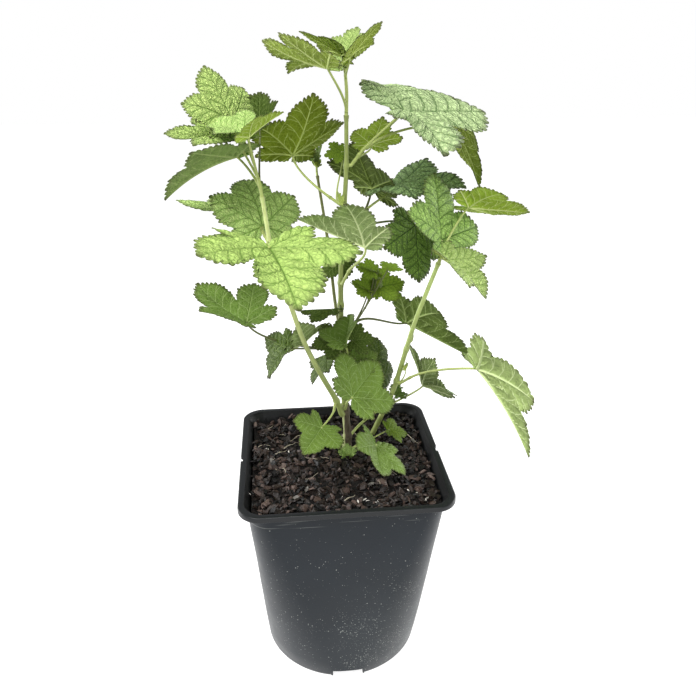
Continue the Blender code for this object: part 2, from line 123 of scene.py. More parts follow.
def mathNode(tree, operation, *values):
    return addNode(tree, 'ShaderNodeMath', dict(enumerate(values)), operation=operation).outputs[0]


def times(tree, a, b):
    return mathNode(tree, 'MULTIPLY', a, b)


def mixColour(tree, factor, a, b):
    a, b = (c if isinstance(c, bpy.types.NodeSocket) else (*c, 1) for c in (a, b))
    return addNode(tree, 'ShaderNodeMix', {0: factor, 6: a, 7: b}, data_type='RGBA').outputs[2]


def ramp(tree, value, low, high, toLow=0.0, toHigh=1.0, smooth=True):
    return addNode(tree, 'ShaderNodeMapRange', {0: value, 1: low, 2: high, 3: toLow, 4: toHigh},
                   interpolation_type='SMOOTHSTEP' if smooth else 'LINEAR').outputs[0]


def noiseNode(tree, vector, scale, detail):
    return addNode(tree, 'ShaderNodeTexNoise', {'Vector': vector, 'Scale': scale, 'Detail': detail,
                                                'Roughness': 0.55}).outputs['Fac']


# a patchy mask; its row holds the noise's scale and detail, then what the ramp takes
def patchy(tree, vector, scale, detail, *edges):
    return ramp(tree, noiseNode(tree, vector, scale, detail), *edges)


def objectPlace(tree):
    return addNode(tree, 'ShaderNodeTexCoord').outputs['Object']


def newMaterial(name, roughness, specular):
    material = bpy.data.materials.new(name)
    material.use_nodes = True
    tree = material.node_tree
    bsdf = tree.nodes['Principled BSDF']
    bsdf.inputs['Roughness'].default_value = roughness
    bsdf.inputs['Specular IOR Level'].default_value = specular
    return material, tree, bsdf


# a skin's colour, and a bump from the given height
def finishSkin(tree, bsdf, colour, height, strength, distance):
    plug(tree, bsdf.inputs['Base Color'], colour)
    bump = addNode(tree, 'ShaderNodeBump', {'Height': height, 'Strength': strength, 'Distance': distance})
    tree.links.new(bump.outputs[0], bsdf.inputs['Normal'])


# a node group whose outputs are all masks
def newGroup(name, inputs, outputs):
    group = bpy.data.node_groups.new(name, 'ShaderNodeTree')
    for label, kind in inputs.items():
        group.interface.new_socket(label, in_out='INPUT', socket_type=kind)
    for label in outputs:
        group.interface.new_socket(label, in_out='OUTPUT', socket_type='NodeSocketFloat')
    return group, group.nodes.new('NodeGroupInput').outputs, group.nodes.new('NodeGroupOutput').inputs


# specks of lime and dust: some of the cells bear a dot, each of its own size
def speckGroup():
    group, given, out = newGroup('specks', {'Vector': 'NodeSocketVector', 'Scale': 'NodeSocketFloat',
                                            'Amount': 'NodeSocketFloat'}, ['Mask'])
    cells = addNode(group, 'ShaderNodeTexVoronoi', {'Vector': given['Vector'], 'Scale': given['Scale']})
    pick = addNode(group, 'ShaderNodeSeparateColor', {'Color': cells.outputs['Color']})
    kept = mathNode(group, 'LESS_THAN', pick.outputs['Red'], given['Amount'])
    least, more = pot['speckSize']
    size = mathNode(group, 'MULTIPLY_ADD', pick.outputs['Green'], more, least)
    dot = ramp(group, cells.outputs['Distance'], size, times(group, size, pot['speckCore']))
    group.links.new(times(group, kept, dot), out['Mask'])
    return group


# the pot: a square rim that flows into a round foot

pot = dict(
    height=178, rimHalf=80, rimCorner=16, skirt=4.5,
    neckHalf=73.6, neckCorner=14, lipHalf=75.4, footRadius=65.5, squarePower=0.85,
    wall=1.4, floorThick=2.0, edgeRound=0.9, footRound=(1.6, 2.0), sidesPerQuarter=34, bow=2.6, bowFrom=120,
    notchWide=25, notchHigh=6, notchDeep=12, notchWall=1.4, notchInset=0.4, notchPast=5,
    boxExtra=2.4, boxBack=2.15, boxLift=0.3, holeRadius=3, holeLong=6, holeShift=1,
    slotLong=9, slotWide=3.0, slotDeep=9, slotInset=2.0, insideTurn=-0.3, insideFrom=40, smoothUnder=35,
    # the rim's colour, which the inner wall takes too, is painted shade
    colour=(0.007, 0.011, 0.016), cloud=(0.014, 0.020, 0.027), paintedShadeColour=(0.008, 0.009, 0.010),
    dust=(0.46, 0.48, 0.45), leastRough=0.28, grain=700, grainDeep=0.2, insideShade=0.6,
    insideShine=(0.5, 0.25), insidePatches=(30, 4, 0.3, 0.7), patches=(26, 4, 0.40, 0.64, 0.3, 1.3),
    clouds=(8, 5, 0.3, 0.75), roughPatches=(60, 4), roughVaries=0.18, dustRough=0.3, dustHigh=0.8,
    rimBlend=0.7, rimShadeShare=0.9, rimShine=0.10, shine=0.25,
    speckSize=(0.13, 0.26), speckCore=0.4, speckLayers=((620.0, 0.8), (1150.0, 0.55)),
    specksInSplash=0.95, specksAnywhere=0.05, splashHigh=150, splashAcross=(-50, 60), film=0.06,
    scrapes=0.4, scrapesFrom=15.5, scrapesFull=7.5, scrapesEnd=(3.5, -0.5), scrapeLean=0.09,
    scrapeStretch=(12.0, 12.0, 520.0), scrapeLines=(1.0, 2, 0.60, 0.70),
)
specks = speckGroup()


# a rounded square; near the rim its left and right sides are bowed out by the compost
def roundedSquare(half, corner, z):
    corner = min(corner, half)
    side = half - corner
    ring = []
    n = pot['sidesPerQuarter']
    bow = pot['bow'] * max(z - pot['bowFrom'], 0) / (pot['height'] - pot['bowFrom'])
    for q, (sx, sy) in enumerate(((1, 1), (-1, 1), (-1, -1), (1, -1))):
        for k in range(n):
            a = math.radians(90 * q + 90 * k / (n - 1))
            x, y = sx * side + corner * math.cos(a), sy * side + corner * math.sin(a)
            ring.append(((x + bow * x / half * (1 - (y / half) ** 2)) * mm, y * mm))
    return ring


# half size and corner radius of the wall at a height, or of a surface inside it
def wallSection(z, inset=0.0):
    t = z / (pot['height'] - pot['skirt'])
    half = pot['footRadius'] + (pot['neckHalf'] - pot['footRadius']) * t
    corner = pot['footRadius'] + (pot['neckCorner'] - pot['footRadius']) * max(t, 0) ** pot['squarePower']
    return half - inset, corner - inset


# half size, corner radius and height of every ring, from the inner floor over the lip to the underside
def potProfile():
    top, wall, lip, rim = pot['height'], pot['wall'], pot['lipHalf'], pot['rimHalf']
    corner, r, under = pot['rimCorner'], pot['edgeRound'], pot['height'] - pot['skirt']
    rings = [(*wallSection(z, wall), z) for z in np.linspace(pot['floorThick'], under - 1, 9)]
    rings.append((lip - 0.5, corner - 3.2, top - 1.3))
    for middle, tighter, turns in ((lip + r - 0.4, 2.6, np.linspace(180, 90, 4)),
                                   (rim - r, 0, np.linspace(90, 0, 5))):
        for a in np.radians(turns):
            rings.append((middle + r * math.cos(a), corner - tighter, top - r + r * math.sin(a)))
    # the rim's lower edge and its hollow underside
    rings += [(rim, corner, under + 0.5), (rim - 0.5, corner, under), (rim - 1.3, corner - 1, under),
              (rim - 1.5, corner - 1, top - 1.6), (lip + wall, corner - 1.6, top - 1.8)]
    rings += [(*wallSection(z), z) for z in np.linspace(under - 1, 2.4, 12)]
    across, up = pot['footRound']
    rings += [(*wallSection(0, across * (1 - math.cos(a))), up * (1 - math.sin(a)))
              for a in np.radians((25, 55, 90))]
    return rings


# the inner wall above the compost is painted shade: the rim's dark colour, with patches darker still
def insideMaterial():
    material, tree, bsdf = newMaterial('potInside', *pot['insideShine'])
    place = objectPlace(tree)
    dim = tuple(pot['insideShade'] * c for c in pot['paintedShadeColour'])
    colour = mixColour(tree, patchy(tree, place, *pot['insidePatches']), dim, pot['paintedShadeColour'])
    finishSkin(tree, bsdf, colour, noiseNode(tree, place, pot['grain'], 2), 0.3, pot['grainDeep'] * mm)
    return material


def potMaterial():
    material, tree, bsdf = newMaterial('potPlastic', pot['leastRough'], pot['shine'])
    place = objectPlace(tree)
    split = addNode(tree, 'ShaderNodeSeparateXYZ', {'Vector': place})
    high, under = split.outputs['Z'], pot['height'] - pot['skirt']
    left, right = pot['splashAcross']
    splash = times(tree, ramp(tree, high, pot['splashHigh'] * mm, 0.0),
                   ramp(tree, split.outputs['X'], left * mm, right * mm, 0.10, 1.0))
    amount = mathNode(tree, 'MULTIPLY_ADD', splash, pot['specksInSplash'], pot['specksAnywhere'])
    amount = times(tree, amount, patchy(tree, place, *pot['patches']))
    layers = []
    for scale, weight in pot['speckLayers']:
        layer = addNode(tree, 'ShaderNodeGroup', {'Vector': place, 'Scale': scale, 'Amount': amount},
                        node_tree=specks)
        layers.append(times(tree, layer.outputs['Mask'], weight))
    dusty = mathNode(tree, 'MAXIMUM', *layers)
    # long faint scrapes just under the rim
    turned = addNode(tree, 'ShaderNodeMapping', {'Vector': place, 'Rotation': (0.0, pot['scrapeLean'], 0.0),
                                                 'Scale': pot['scrapeStretch']}).outputs[0]
    fades, ends = pot['scrapesEnd']
    band = times(tree, ramp(tree, high, (under - pot['scrapesFrom']) * mm, (under - pot['scrapesFull']) * mm),
                 ramp(tree, high, (under - ends) * mm, (under - fades) * mm))
    scraped = times(tree, patchy(tree, turned, *pot['scrapeLines']), band)
    pale = mathNode(tree, 'MULTIPLY_ADD', scraped, pot['scrapes'], times(tree, splash, pot['film']))
    colour = mixColour(tree, patchy(tree, place, *pot['clouds']), pot['colour'], pot['cloud'])
    colour = mixColour(tree, dusty, mixColour(tree, pale, colour, pot['dust']), pot['dust'])
    # the rim is darker than the body: painted shade on the rim, and it also shows less of the body's dust
    rim = ramp(tree, high, (under - pot['rimBlend']) * mm, (under + pot['rimBlend']) * mm)
    colour = mixColour(tree, times(tree, rim, pot['rimShadeShare']), colour, pot['paintedShadeColour'])
    shine = mathNode(tree, 'MULTIPLY_ADD', rim, pot['rimShine'], pot['shine'])
    plug(tree, bsdf.inputs['Specular IOR Level'], shine)
    rough = noiseNode(tree, place, *pot['roughPatches'])
    rough = mathNode(tree, 'MULTIPLY_ADD', rough, pot['roughVaries'], pot['leastRough'])
    plug(tree, bsdf.inputs['Roughness'], mathNode(tree, 'MULTIPLY_ADD', dusty, pot['dustRough'], rough))
    grain = noiseNode(tree, place, pot['grain'], 2)
    height = mathNode(tree, 'MULTIPLY_ADD', dusty, pot['dustHigh'], grain)
    finishSkin(tree, bsdf, colour, height, 0.3, pot['grainDeep'] * mm)
    return material


# a block or rod is added to the pot or cut out of it; sizes and place in millimetres
def workPot(obj, kind, size, place, turn=0.0, operation='DIFFERENCE'):
    place = [v * mm for v in place]
    if kind == 'box':
        bpy.ops.mesh.primitive_cube_add(size=1, location=place, rotation=(0, 0, turn))
        tool = bpy.context.object
        tool.scale = [v * mm for v in size]
    else:
        radius, _, depth = (v * mm for v in size)
        bpy.ops.mesh.primitive_cylinder_add(vertices=32, radius=radius, depth=depth, location=place)
        tool = bpy.context.object
    bpy.ops.object.transform_apply(location=True, rotation=True, scale=True)
    mod = obj.modifiers.new('cut', 'BOOLEAN')
    mod.object = tool
    mod.operation = operation
    bpy.context.view_layer.objects.active = obj
    bpy.ops.object.modifier_apply(modifier=mod.name)
    bpy.data.objects.remove(tool, do_unlink=True)


def buildPot():
    bpy.ops.mesh.primitive_circle_add(vertices=4 * pot['sidesPerQuarter'], radius=pot['footRadius'] * mm,
                                      fill_type='NGON')
    obj = bpy.context.object
    obj.name = 'pot_shell'
    bm = startEdit(obj)
    order = bm.verts.layers.int.new('ringOrder')
    for i, v in enumerate(sorted(bm.verts, key=lambda v: math.atan2(v.co.y, v.co.x) % (2 * math.pi))):
        v[order] = i
    bpy.ops.mesh.select_all(action='SELECT')
    for k, (half, corner, z) in enumerate(potProfile()):
        if k:
            bpy.ops.mesh.extrude_region_move(TRANSFORM_OT_translate={'value': (0, 0, mm)})
        bm = bmesh.from_edit_mesh(obj.data)
        order = bm.verts.layers.int['ringOrder']
        places = roundedSquare(half, corner, z)
        for v in bm.verts:
            if v.select:
                v.co = (*places[v[order]], z * mm)
        bmesh.update_edit_mesh(obj.data)
    endEdit()
    deep, wide, high, wall = (pot[k] for k in ('notchDeep', 'notchWide', 'notchHigh', 'notchWall'))
    middle = pot['footRadius'] - pot['notchInset'] - deep / 2
    turns = [math.radians(90 * q) for q in range(4)]

    def outward(turn, reach, z):
        return reach * math.cos(turn), reach * math.sin(turn), z

    # each foot notch is a hollow box, with a drain hole in its roof
    for turn in turns:
        workPot(obj, 'box', (deep + pot['boxExtra'], wide + 2 * wall, high + wall),
                outward(turn, middle - pot['boxBack'], (high + wall) / 2 + pot['boxLift']), turn, 'UNION')
    past, shift = pot['notchPast'], pot['holeShift']
    for turn in turns:
        workPot(obj, 'box', (deep + 2 * past, wide, high * 2), outward(turn, middle + past, 0), turn)
        workPot(obj, 'rod', (pot['holeRadius'], 0, pot['holeLong']),
                outward(turn, middle - shift, high + shift))
    for sign in (-1, 1):
        workPot(obj, 'box', (pot['slotWide'], pot['slotLong'], pot['slotDeep']),
                (sign * (pot['rimHalf'] + pot['bow'] - pot['slotInset']), 0, pot['height']))
    obj.data.materials.clear()
    obj.data.materials.append(potMaterial())
    obj.data.materials.append(insideMaterial())
    # the wall's inner faces, which look towards the middle, have the inner skin, painted shade
    for face in obj.data.polygons:
        out = face.center.xy.length
        facing = face.normal.xy.dot(face.center.xy)
        if facing < pot['insideTurn'] * out and out > pot['insideFrom'] * mm:
            face.material_index = 1
    smoothShade(obj, pot['smoothUnder'])
    finishPiece(obj, 'pot_plastic', 'pot')


buildPot()
print('pot done')


# the compost: a lumpy block, bark chips strewn over it in layers, a few pale fibres

compost = dict(
    top=171, sunk=1.6, lumps=((1.6, 0.045), (0.7, 0.16), (0.5, 0.6)), gridSteps=110, levels=(120, 60, 8.5),
    margin=0.7, bank=5.0, bankWide=8, bankShares=(0.72, 0.28), overlap=1.8, bedShade=(0.002, 0.002, 0.002),
    chips=2100, chipLong=(6.0, 13.5), chipWide=(0.34, 0.68), chipThick=(0.10, 0.24), tilt=29, seed=11,
    # the near-black fifth tone is painted shade in the gaps between the chips
    tones=((0.014, 0.009, 0.007), (0.030, 0.019, 0.015), (0.064, 0.041, 0.033), (0.125, 0.086, 0.072),
           (0.002, 0.0015, 0.0015), (0.14, 0.13, 0.115), (0.70, 0.66, 0.60)),
    toneShares=(0.26, 0.28, 0.20, 0.07, 0.16, 0.015, 0.002), lowShares=(0.5, 0.12, 0, 0, 0.38, 0, 0),
    lowLayer=0.4, darkOnRight=0.45, lowest=-0.9, layers=2.7, liftVaries=(-0.4, 0.6),
    flakeLift=2.4, flakeSlim=0.6,
    # the listed flakes and the rare palest chips are painted glints, pale bits where the compost shines
    glintFlakes=((-60, 20.5, 4.4), (-59, 18.5, 3), (-42, 16, 3.4), (8, -60, 3.6), (13, -57.5, 4.8), (15, -60, 3.4),
            (20, -62, 4.6), (23, -61, 3), (54, -52, 3), (59, -62, 3.2), (64, -55, 3.2), (-72, -48, 2.6),
            (48, -49, 2.6), (61, -60, 2.4), (-3, -52, 2.0)),
    bedShine=(0.9, 0.3), bedGrain=(420, 4), bedEdges=(0.4, 0.7), bedDeep=0.9, barkShine=(0.46, 0.32),
    barkGrain=(900, 3), barkDeep=0.6, chipShort=(0.55, 1.0), cornerShift=0.34, cornerReach=(0.66, 1.12),
    cornerRise=0.16, upperDraw=0.78,
    fibres=24, fibreTone=(0.42, 0.37, 0.28), fibreLong=(5, 17), fibreThick=(0.18, 0.42), fibreSteps=8,
    fibreLift=2.1, twigLift=3.4, fibreWave=0.7, fibreClear=12, fibreInset=6, fibreBend=(-0.09, 0.09),
    fibreTaper=0.5, fibreSides=5, twigBend=0.02,
    twigs=((14, 41, 19, 31), (60, 35, 66, 16), (-46, 20, -35, 28), (-53, 11, -43, 16), (-2, -59, 8, -52),
           (-68, 22, -61, 27)), twigThick=0.45,
)


def soilHeight(x, y):
    (big, wideLump), (small, shortLump) = compost['lumps'][:2]
    spot = Vector((x, y, 3.1))
    lumps = big * noise.noise(spot * wideLump) + small * noise.noise(spot * shortLump)
    return (compost['top'] - compost['sunk'] + lumps) * mm


# how far inside the pot's inner wall a place is, in millimetres
def insideWall(x, y):
    half, corner = wallSection(compost['top'], pot['wall'])
    ax, ay = abs(x) - (half - corner), abs(y) - (half - corner)
    if ax > 0 and ay > 0:
        return corner - math.hypot(ax, ay)
    return half - max(abs(x), abs(y))


# the bed under the chips is near black: painted shade in the gaps between the chips
def bedMaterial():
    material, tree, bsdf = newMaterial('compostBed', *compost['bedShine'])
    grain = noiseNode(tree, objectPlace(tree), *compost['bedGrain'])
    colour = mixColour(tree, ramp(tree, grain, *compost['bedEdges']), compost['bedShade'], compost['tones'][0])
    finishSkin(tree, bsdf, colour, grain, compost['bedDeep'], mm)
    return material


def buildSoil():
    inset = pot['wall'] + compost['margin']
    half = wallSection(compost['top'], inset)[0]
    steps = compost['gridSteps']
    bpy.ops.mesh.primitive_grid_add(x_subdivisions=steps, y_subdivisions=steps, size=2 * half * mm)
    obj = bpy.context.object
    obj.name = 'compost_bed'
    bm = startEdit(obj)
    rough, roughScale = compost['lumps'][2]
    for v in bm.verts:
        x, y = v.co.x / mm, v.co.y / mm
        short = compost['margin'] - insideWall(x, y)
        if short > 0:
            pull = 1 - short / math.hypot(x, y)
            x, y = x * pull, y * pull
        z = soilHeight(x, y) + rough * mm * noise.noise(Vector((x, y, 0)) * roughScale)
        v.co = (x * mm, y * mm, z)
    for e in bm.edges:
        e.select_set(e.is_boundary)
    bmesh.update_edit_mesh(obj.data)
    # the square outline turns rounder with depth
    for z in compost['levels']:
        bpy.ops.mesh.extrude_region_move()
        bm = bmesh.from_edit_mesh(obj.data)
        section, corner = wallSection(z)
        reach = section - inset
        for v in bm.verts:
            if v.select:
                square = v.co.xy
                disc = square.normalized() * reach * mm
                outside = square.length > disc.length
                flat = square.lerp(disc, min(corner / section, 1)) if outside else square * (reach / half)
                v.co = (flat.x, flat.y, z * mm)
        bmesh.update_edit_mesh(obj.data)
    bpy.ops.mesh.edge_face_add()
    endEdit()
    obj.data.materials.append(bedMaterial())
    smoothShade(obj, 60)
    finishPiece(obj, 'bark_compost', 'soil')


# one chip of bark: a six-sided slab with its corners pushed about and its upper face drawn in
def chipShape(rng, long):
    wide, thick = long * rng.uniform(*compost['chipWide']), long * rng.uniform(*compost['chipThick'])
    corners, shift, rise = [], compost['cornerShift'], compost['cornerRise']
    for level, draw in ((-0.5, 1.0), (0.5, compost['upperDraw'])):
        for k in range(6):
            a = 2 * math.pi * k / 6 + rng.uniform(-shift, shift)
            r = draw * rng.uniform(*compost['cornerReach']) / 2
            z = thick * (level + rng.uniform(-rise, rise))
            corners.append((long * r * math.cos(a), wide * r * math.sin(a), z))
    faces = [(5, 4, 3, 2, 1, 0), (6, 7, 8, 9, 10, 11)]
    faces += [(k, (k + 1) % 6, 6 + (k + 1) % 6, 6 + k) for k in range(6)]
    return np.array(corners), faces


# heading turns about Z, then dip tips the nose down about Y, then roll turns about the length
def turnMatrix(heading, dip, roll):
    h, d, r = (math.radians(v) for v in (heading, dip, roll))
    turnZ = np.array([[math.cos(h), -math.sin(h), 0], [math.sin(h), math.cos(h), 0], [0, 0, 1]])
    turnY = np.array([[math.cos(d), 0, math.sin(d)], [0, 1, 0], [-math.sin(d), 0, math.cos(d)]])
    turnX = np.array([[1, 0, 0], [0, math.cos(r), -math.sin(r)], [0, math.sin(r), math.cos(r)]])
    return turnZ @ turnY @ turnX


def barkMaterial(name, tone):
    material, tree, bsdf = newMaterial(name, *compost['barkShine'])
    grain = noiseNode(tree, objectPlace(tree), *compost['barkGrain'])
    finishSkin(tree, bsdf, (*tone, 1), grain, compost['barkDeep'], compost['barkDeep'] * mm)
    return material


def buildChips():
    rng = random.Random(compost['seed'])
    half = wallSection(compost['top'], pot['wall'])[0]
    points, faces, slots, laid = [], [], [], 0
    tones = list(range(len(compost['tones'])))

    # chips lie higher near the wall, and more so on the left
    def layChip(x, y, long, lift, tone):
        shape, sides = chipShape(rng, long)
        # the palest chips, painted glints, are slimmer
        if tone == tones[-1]:
            shape[:, 1] *= compost['flakeSlim']
        turn = turnMatrix(rng.uniform(0, 360), rng.gauss(0, compost['tilt']), rng.gauss(0, compost['tilt']))
        level, slope = compost['bankShares']
        near = math.exp(-insideWall(x, y) / compost['bankWide'])
        banked = compost['bank'] * near * (level - slope * x / half)
        middle = np.array((x * mm, y * mm, soilHeight(x, y) + (lift + banked) * mm))
        addShape(points, faces, shape @ turn.T * mm + middle, sides)
        slots.extend([tone] * len(sides))

    while laid < compost['chips']:
        x, y = rng.uniform(-half, half), rng.uniform(-half, half)
        long = rng.uniform(*compost['chipLong']) * rng.uniform(*compost['chipShort'])
        if insideWall(x, y) < 0.5 * long - compost['overlap']:
            continue
        share = laid / compost['chips']
        # the lowest layer takes the darker shares, painted shade under the upper chips; on the right more
        # chips take them too, so that side is darker
        takesDark = share < compost['lowLayer'] or rng.random() < compost['darkOnRight'] * x / half
        shares = compost['lowShares'] if takesDark else compost['toneShares']
        lift = compost['lowest'] + compost['layers'] * share + rng.uniform(*compost['liftVaries'])
        layChip(x, y, long, lift, rng.choices(tones, shares)[0])
        laid += 1
    # pale flakes at the listed places: painted glints
    for x, y, long in compost['glintFlakes']:
        layChip(x, y, long, compost['flakeLift'], tones[-1])
    materials = [barkMaterial(f'barkChip{k}', tone) for k, tone in enumerate(compost['tones'])]
    obj = meshFromArrays('bark_chips', points, faces, slots, materials, smooth=False)
    finishPiece(obj, 'bark_compost')


# straight twigs at their own places and thin curved fibres strewn about, all lying on the chips
def buildFibres():
    rng = random.Random(compost['seed'] + 1)
    half = wallSection(compost['top'])[0] - compost['fibreInset']
    points, faces, strands = [], [], []
    for x0, y0, x1, y1 in compost['twigs']:
        long, way = math.hypot(x1 - x0, y1 - y0), math.atan2(y1 - y0, x1 - x0)
        strands.append((x0, y0, long, way, compost['twigBend'], compost['twigThick'], compost['twigLift']))
    while len(strands) < compost['fibres']:
        x, y = rng.uniform(-half, half), rng.uniform(-half, half)
        if insideWall(x, y) > compost['fibreClear']:
            long, way = rng.uniform(*compost['fibreLong']), rng.uniform(0, 2 * math.pi)
            bend = rng.uniform(*compost['fibreBend'])
            strands.append((x, y, long, way, bend, rng.uniform(*compost['fibreThick']), compost['fibreLift']))
    steps, wave = compost['fibreSteps'], compost['fibreWave']
    for x, y, long, way, bend, thick, lift in strands:
        run = []
        for k in range(steps + 1):
            run.append((x, y, soilHeight(x, y) / mm + lift + wave * math.sin(k * wave)))
            x, y = x + long / steps * math.cos(way), y + long / steps * math.sin(way)
            way += bend * 2
        radii = [thick * mm * (1 - compost['fibreTaper'] * k / steps) for k in range(steps + 1)]
        addShape(points, faces, *tubeArrays(np.array(run) * mm, radii, compost['fibreSides']))
    material = barkMaterial('paleFibre', compost['fibreTone'])
    obj = meshFromArrays('pale_fibres', points, faces, [0] * len(faces), [material])
    finishPiece(obj, 'bark_compost')


def tangentsOf(run):
    tangent = np.gradient(run, axis=0)
    return tangent / np.linalg.norm(tangent, axis=1)[:, None]


# points and faces of a round tube along a run, both ends closed
def tubeArrays(run, radii, sides, ripple=None):
    tangent = tangentsOf(run)
    side = np.cross(tangent[0], (0.31, 0.95, 0.05))
    points, faces = [], []
    around = np.linspace(0, 2 * math.pi, sides, endpoint=False)
    for k, (p, t) in enumerate(zip(run, tangent)):
        side = side - t * np.dot(side, t)
        side /= np.linalg.norm(side)
        other = np.cross(t, side)
        r = radii[k] * (1 if ripple is None else ripple[k])
        points.extend(p + np.outer(r * np.cos(around), side) + np.outer(r * np.sin(around), other))
    for k in range(len(run) - 1):
        for i in range(sides):
            j = (i + 1) % sides
            faces.append((k * sides + i, k * sides + j, (k + 1) * sides + j, (k + 1) * sides + i))
    last = (len(run) - 1) * sides
    faces.append(tuple(range(sides - 1, -1, -1)))
    faces.append(tuple(last + i for i in range(sides)))
    return points, faces


buildSoil()
buildChips()
buildFibres()
print('compost done')


# the limbs, by the same runs as the solids

clear = 0.35
shoots = {
    'trunk': dict(points=[(7, 15, 171.3), (7, 13, 190), (5, 11, 217)], radii=(3.3, 2.8)),
    'centre_shoot': dict(points=[(5, 11, 217.4), (3, 11, 257), (2, 12, 300), (3, 13, 346), (6, 10, 400),
                                 (6, 7, 441)], radii=(2.5, 1.4)),
    'left_shoot': dict(limb='trunk', at=0.84, heading=225, radii=(2.2, 1.4),
                       points=[(-3, 3, 226), (-14, -3, 250), (-27, -8, 281), (-38, -11, 318), (-47, -11, 345),
                               (-53, -7, 390)]),
    'right_shoot': dict(points=[(32, 39, 171.3), (47, 30, 216), (53, 22, 247), (60, 12, 286), (66, 4, 312),
                                (72, -6, 339)], radii=(2.3, 1.5)),
    'rear_shoot': dict(limb='centre_shoot', at=0.3, heading=105, radii=(1.4, 1.1),
                       points=[(-1, 30, 300), (-5, 48, 345), (-11, 67, 390)]),
}
shootLook = dict(
    ringStep=1.4, stemStep=1.8, sides=28, knuckle=0.34, knuckleLong=2.4, lead=1.6, inside=1.2, sink=4,
    rootSwell=1.1, ridge=0.05, woodyRidge=0.12, ridgeTurns=2.6, ridgeRise=0.05, ridgeFine=0.6, fineScale=3.1,
    bark=(0.14, 0.115, 0.075), barkDark=(0.045, 0.034, 0.022), peel=(0.42, 0.47, 0.20),
    left=(0.62, 0.70, 0.28), right=(0.54, 0.67, 0.23), centre=(0.30, 0.36, 0.105), rear=(0.17, 0.19, 0.05),
    darkerLow=0.8, darkerLowBetween=(340, 210), peelLean=0.043, peelEdge=14.8, peelRagged=2.4, peelScale=160,
    peelShare=0.9, streaks=(1100, 3), streakLong=0.12, streakEdges=(0.42, 0.68),
    patches=(70, 3, 0.5, 0.72, 0.0, 0.4), shine=0.4, bumpStrength=0.5, bumpDeep=0.3,
)


# a smooth run through the given points
def smoothPath(points, step):
    pts = [np.array(p, float) for p in points]
    if len(pts) == 2:
        pts = [pts[0], (pts[0] + pts[1]) / 2, pts[1]]
    ghost = [2 * pts[0] - pts[1]] + pts + [2 * pts[-1] - pts[-2]]
    run = []
    for a, b, c, d in zip(ghost, ghost[1:], ghost[2:], ghost[3:]):
        count = max(1, int(round(np.linalg.norm(c - b) / step)))
        for i in range(count):
            t = i / count
            run.append(0.5 * (2 * b + (c - a) * t + (2 * a - 5 * b + 4 * c - d) * t * t
                              + (3 * b - a - 3 * c + d) * t ** 3))
    return np.array(run + [pts[-1]])


def lengthAlong(rows):
    return np.concatenate([[0], np.cumsum(np.linalg.norm(np.diff(rows, axis=0), axis=1))])


def shareAlong(run):
    length = lengthAlong(run)
    return length / length[-1], length[-1]


# rows of a run read at the given places along it
def readAt(at, share, rows):
    return np.stack([np.interp(at, share, column) for column in rows.T], -1)


# place and way in which a stem leaves its limb
def springPoint(limb, at, heading):
    run, tangent, radii = limb
    share, _ = shareAlong(run)
    p, t = readAt(at, share, run), readAt(at, share, tangent)
    t /= np.linalg.norm(t)
    if at >= 1:
        return p + t * clear * mm, t
    radius = radii[0] + (radii[1] - radii[0]) * at
    a = math.radians(heading)
    out = np.array((math.cos(a), math.sin(a), 0.0))
    out -= t * np.dot(out, t)
    out /= np.linalg.norm(out)
    return p + out * (radius + clear * mm), out


limbs = {}


# a limb's run and its tangents; the drawn tube starts a little inside what carries it
def limbRun(spec, step):
    points = [np.array(p, float) * mm for p in spec['points']]
    if 'limb' not in spec:
        run = smoothPath(points, step * mm)
        return run, tangentsOf(run)
    start, out = springPoint(limbs[spec['limb']], spec['at'], spec.get('heading', 0))
    run = smoothPath([start + out * shootLook['lead'] * mm] + points, step * mm)
    tangent = np.vstack([out, out, tangentsOf(run)])
    return np.vstack([start - out * shootLook['inside'] * mm, start, run]), tangent


# a pale green or woody skin with fine lengthwise streaks
def shootMaterial(name, tone, dark, streak, roughness=0.5, peel=None, darkerLow=0.0):
    look = shootLook
    material, tree, bsdf = newMaterial(name, roughness, look['shine'])
    place = objectPlace(tree)
    split = addNode(tree, 'ShaderNodeSeparateXYZ', {'Vector': place})
    stretch = (1.0, 1.0, look['streakLong'])
    long = addNode(tree, 'ShaderNodeMapping', {'Vector': place, 'Scale': stretch}).outputs[0]
    streaks = noiseNode(tree, long, *look['streaks'])
    colour = mixColour(tree, ramp(tree, streaks, *look['streakEdges'], 0.0, streak), tone, dark)
    colour = mixColour(tree, patchy(tree, place, *look['patches']), colour, dark)
    # darker towards the bottom, from the upper height down to the lower
    if darkerLow:
        paleAbove, darkBelow = (z * mm for z in look['darkerLowBetween'])
        colour = mixColour(tree, ramp(tree, split.outputs['Z'], paleAbove, darkBelow, 0.0, darkerLow), colour, dark)
    if peel:
        # the bark has split off one side and shows the green beneath
        edge = look['peelEdge']
        axis = mathNode(tree, 'MULTIPLY_ADD', split.outputs['Z'], look['peelLean'], split.outputs['X'])
        stray = noiseNode(tree, place, look['peelScale'], 3)
        ragged = mathNode(tree, 'MULTIPLY_ADD', stray, look['peelRagged'] * mm, axis)
        shown = ramp(tree, ragged, edge * mm, (edge - 1) * mm, 0.0, look['peelShare'])
        colour = mixColour(tree, shown, colour, peel)
    finishSkin(tree, bsdf, colour, streaks, look['bumpStrength'], look['bumpDeep'] * mm)
    return material


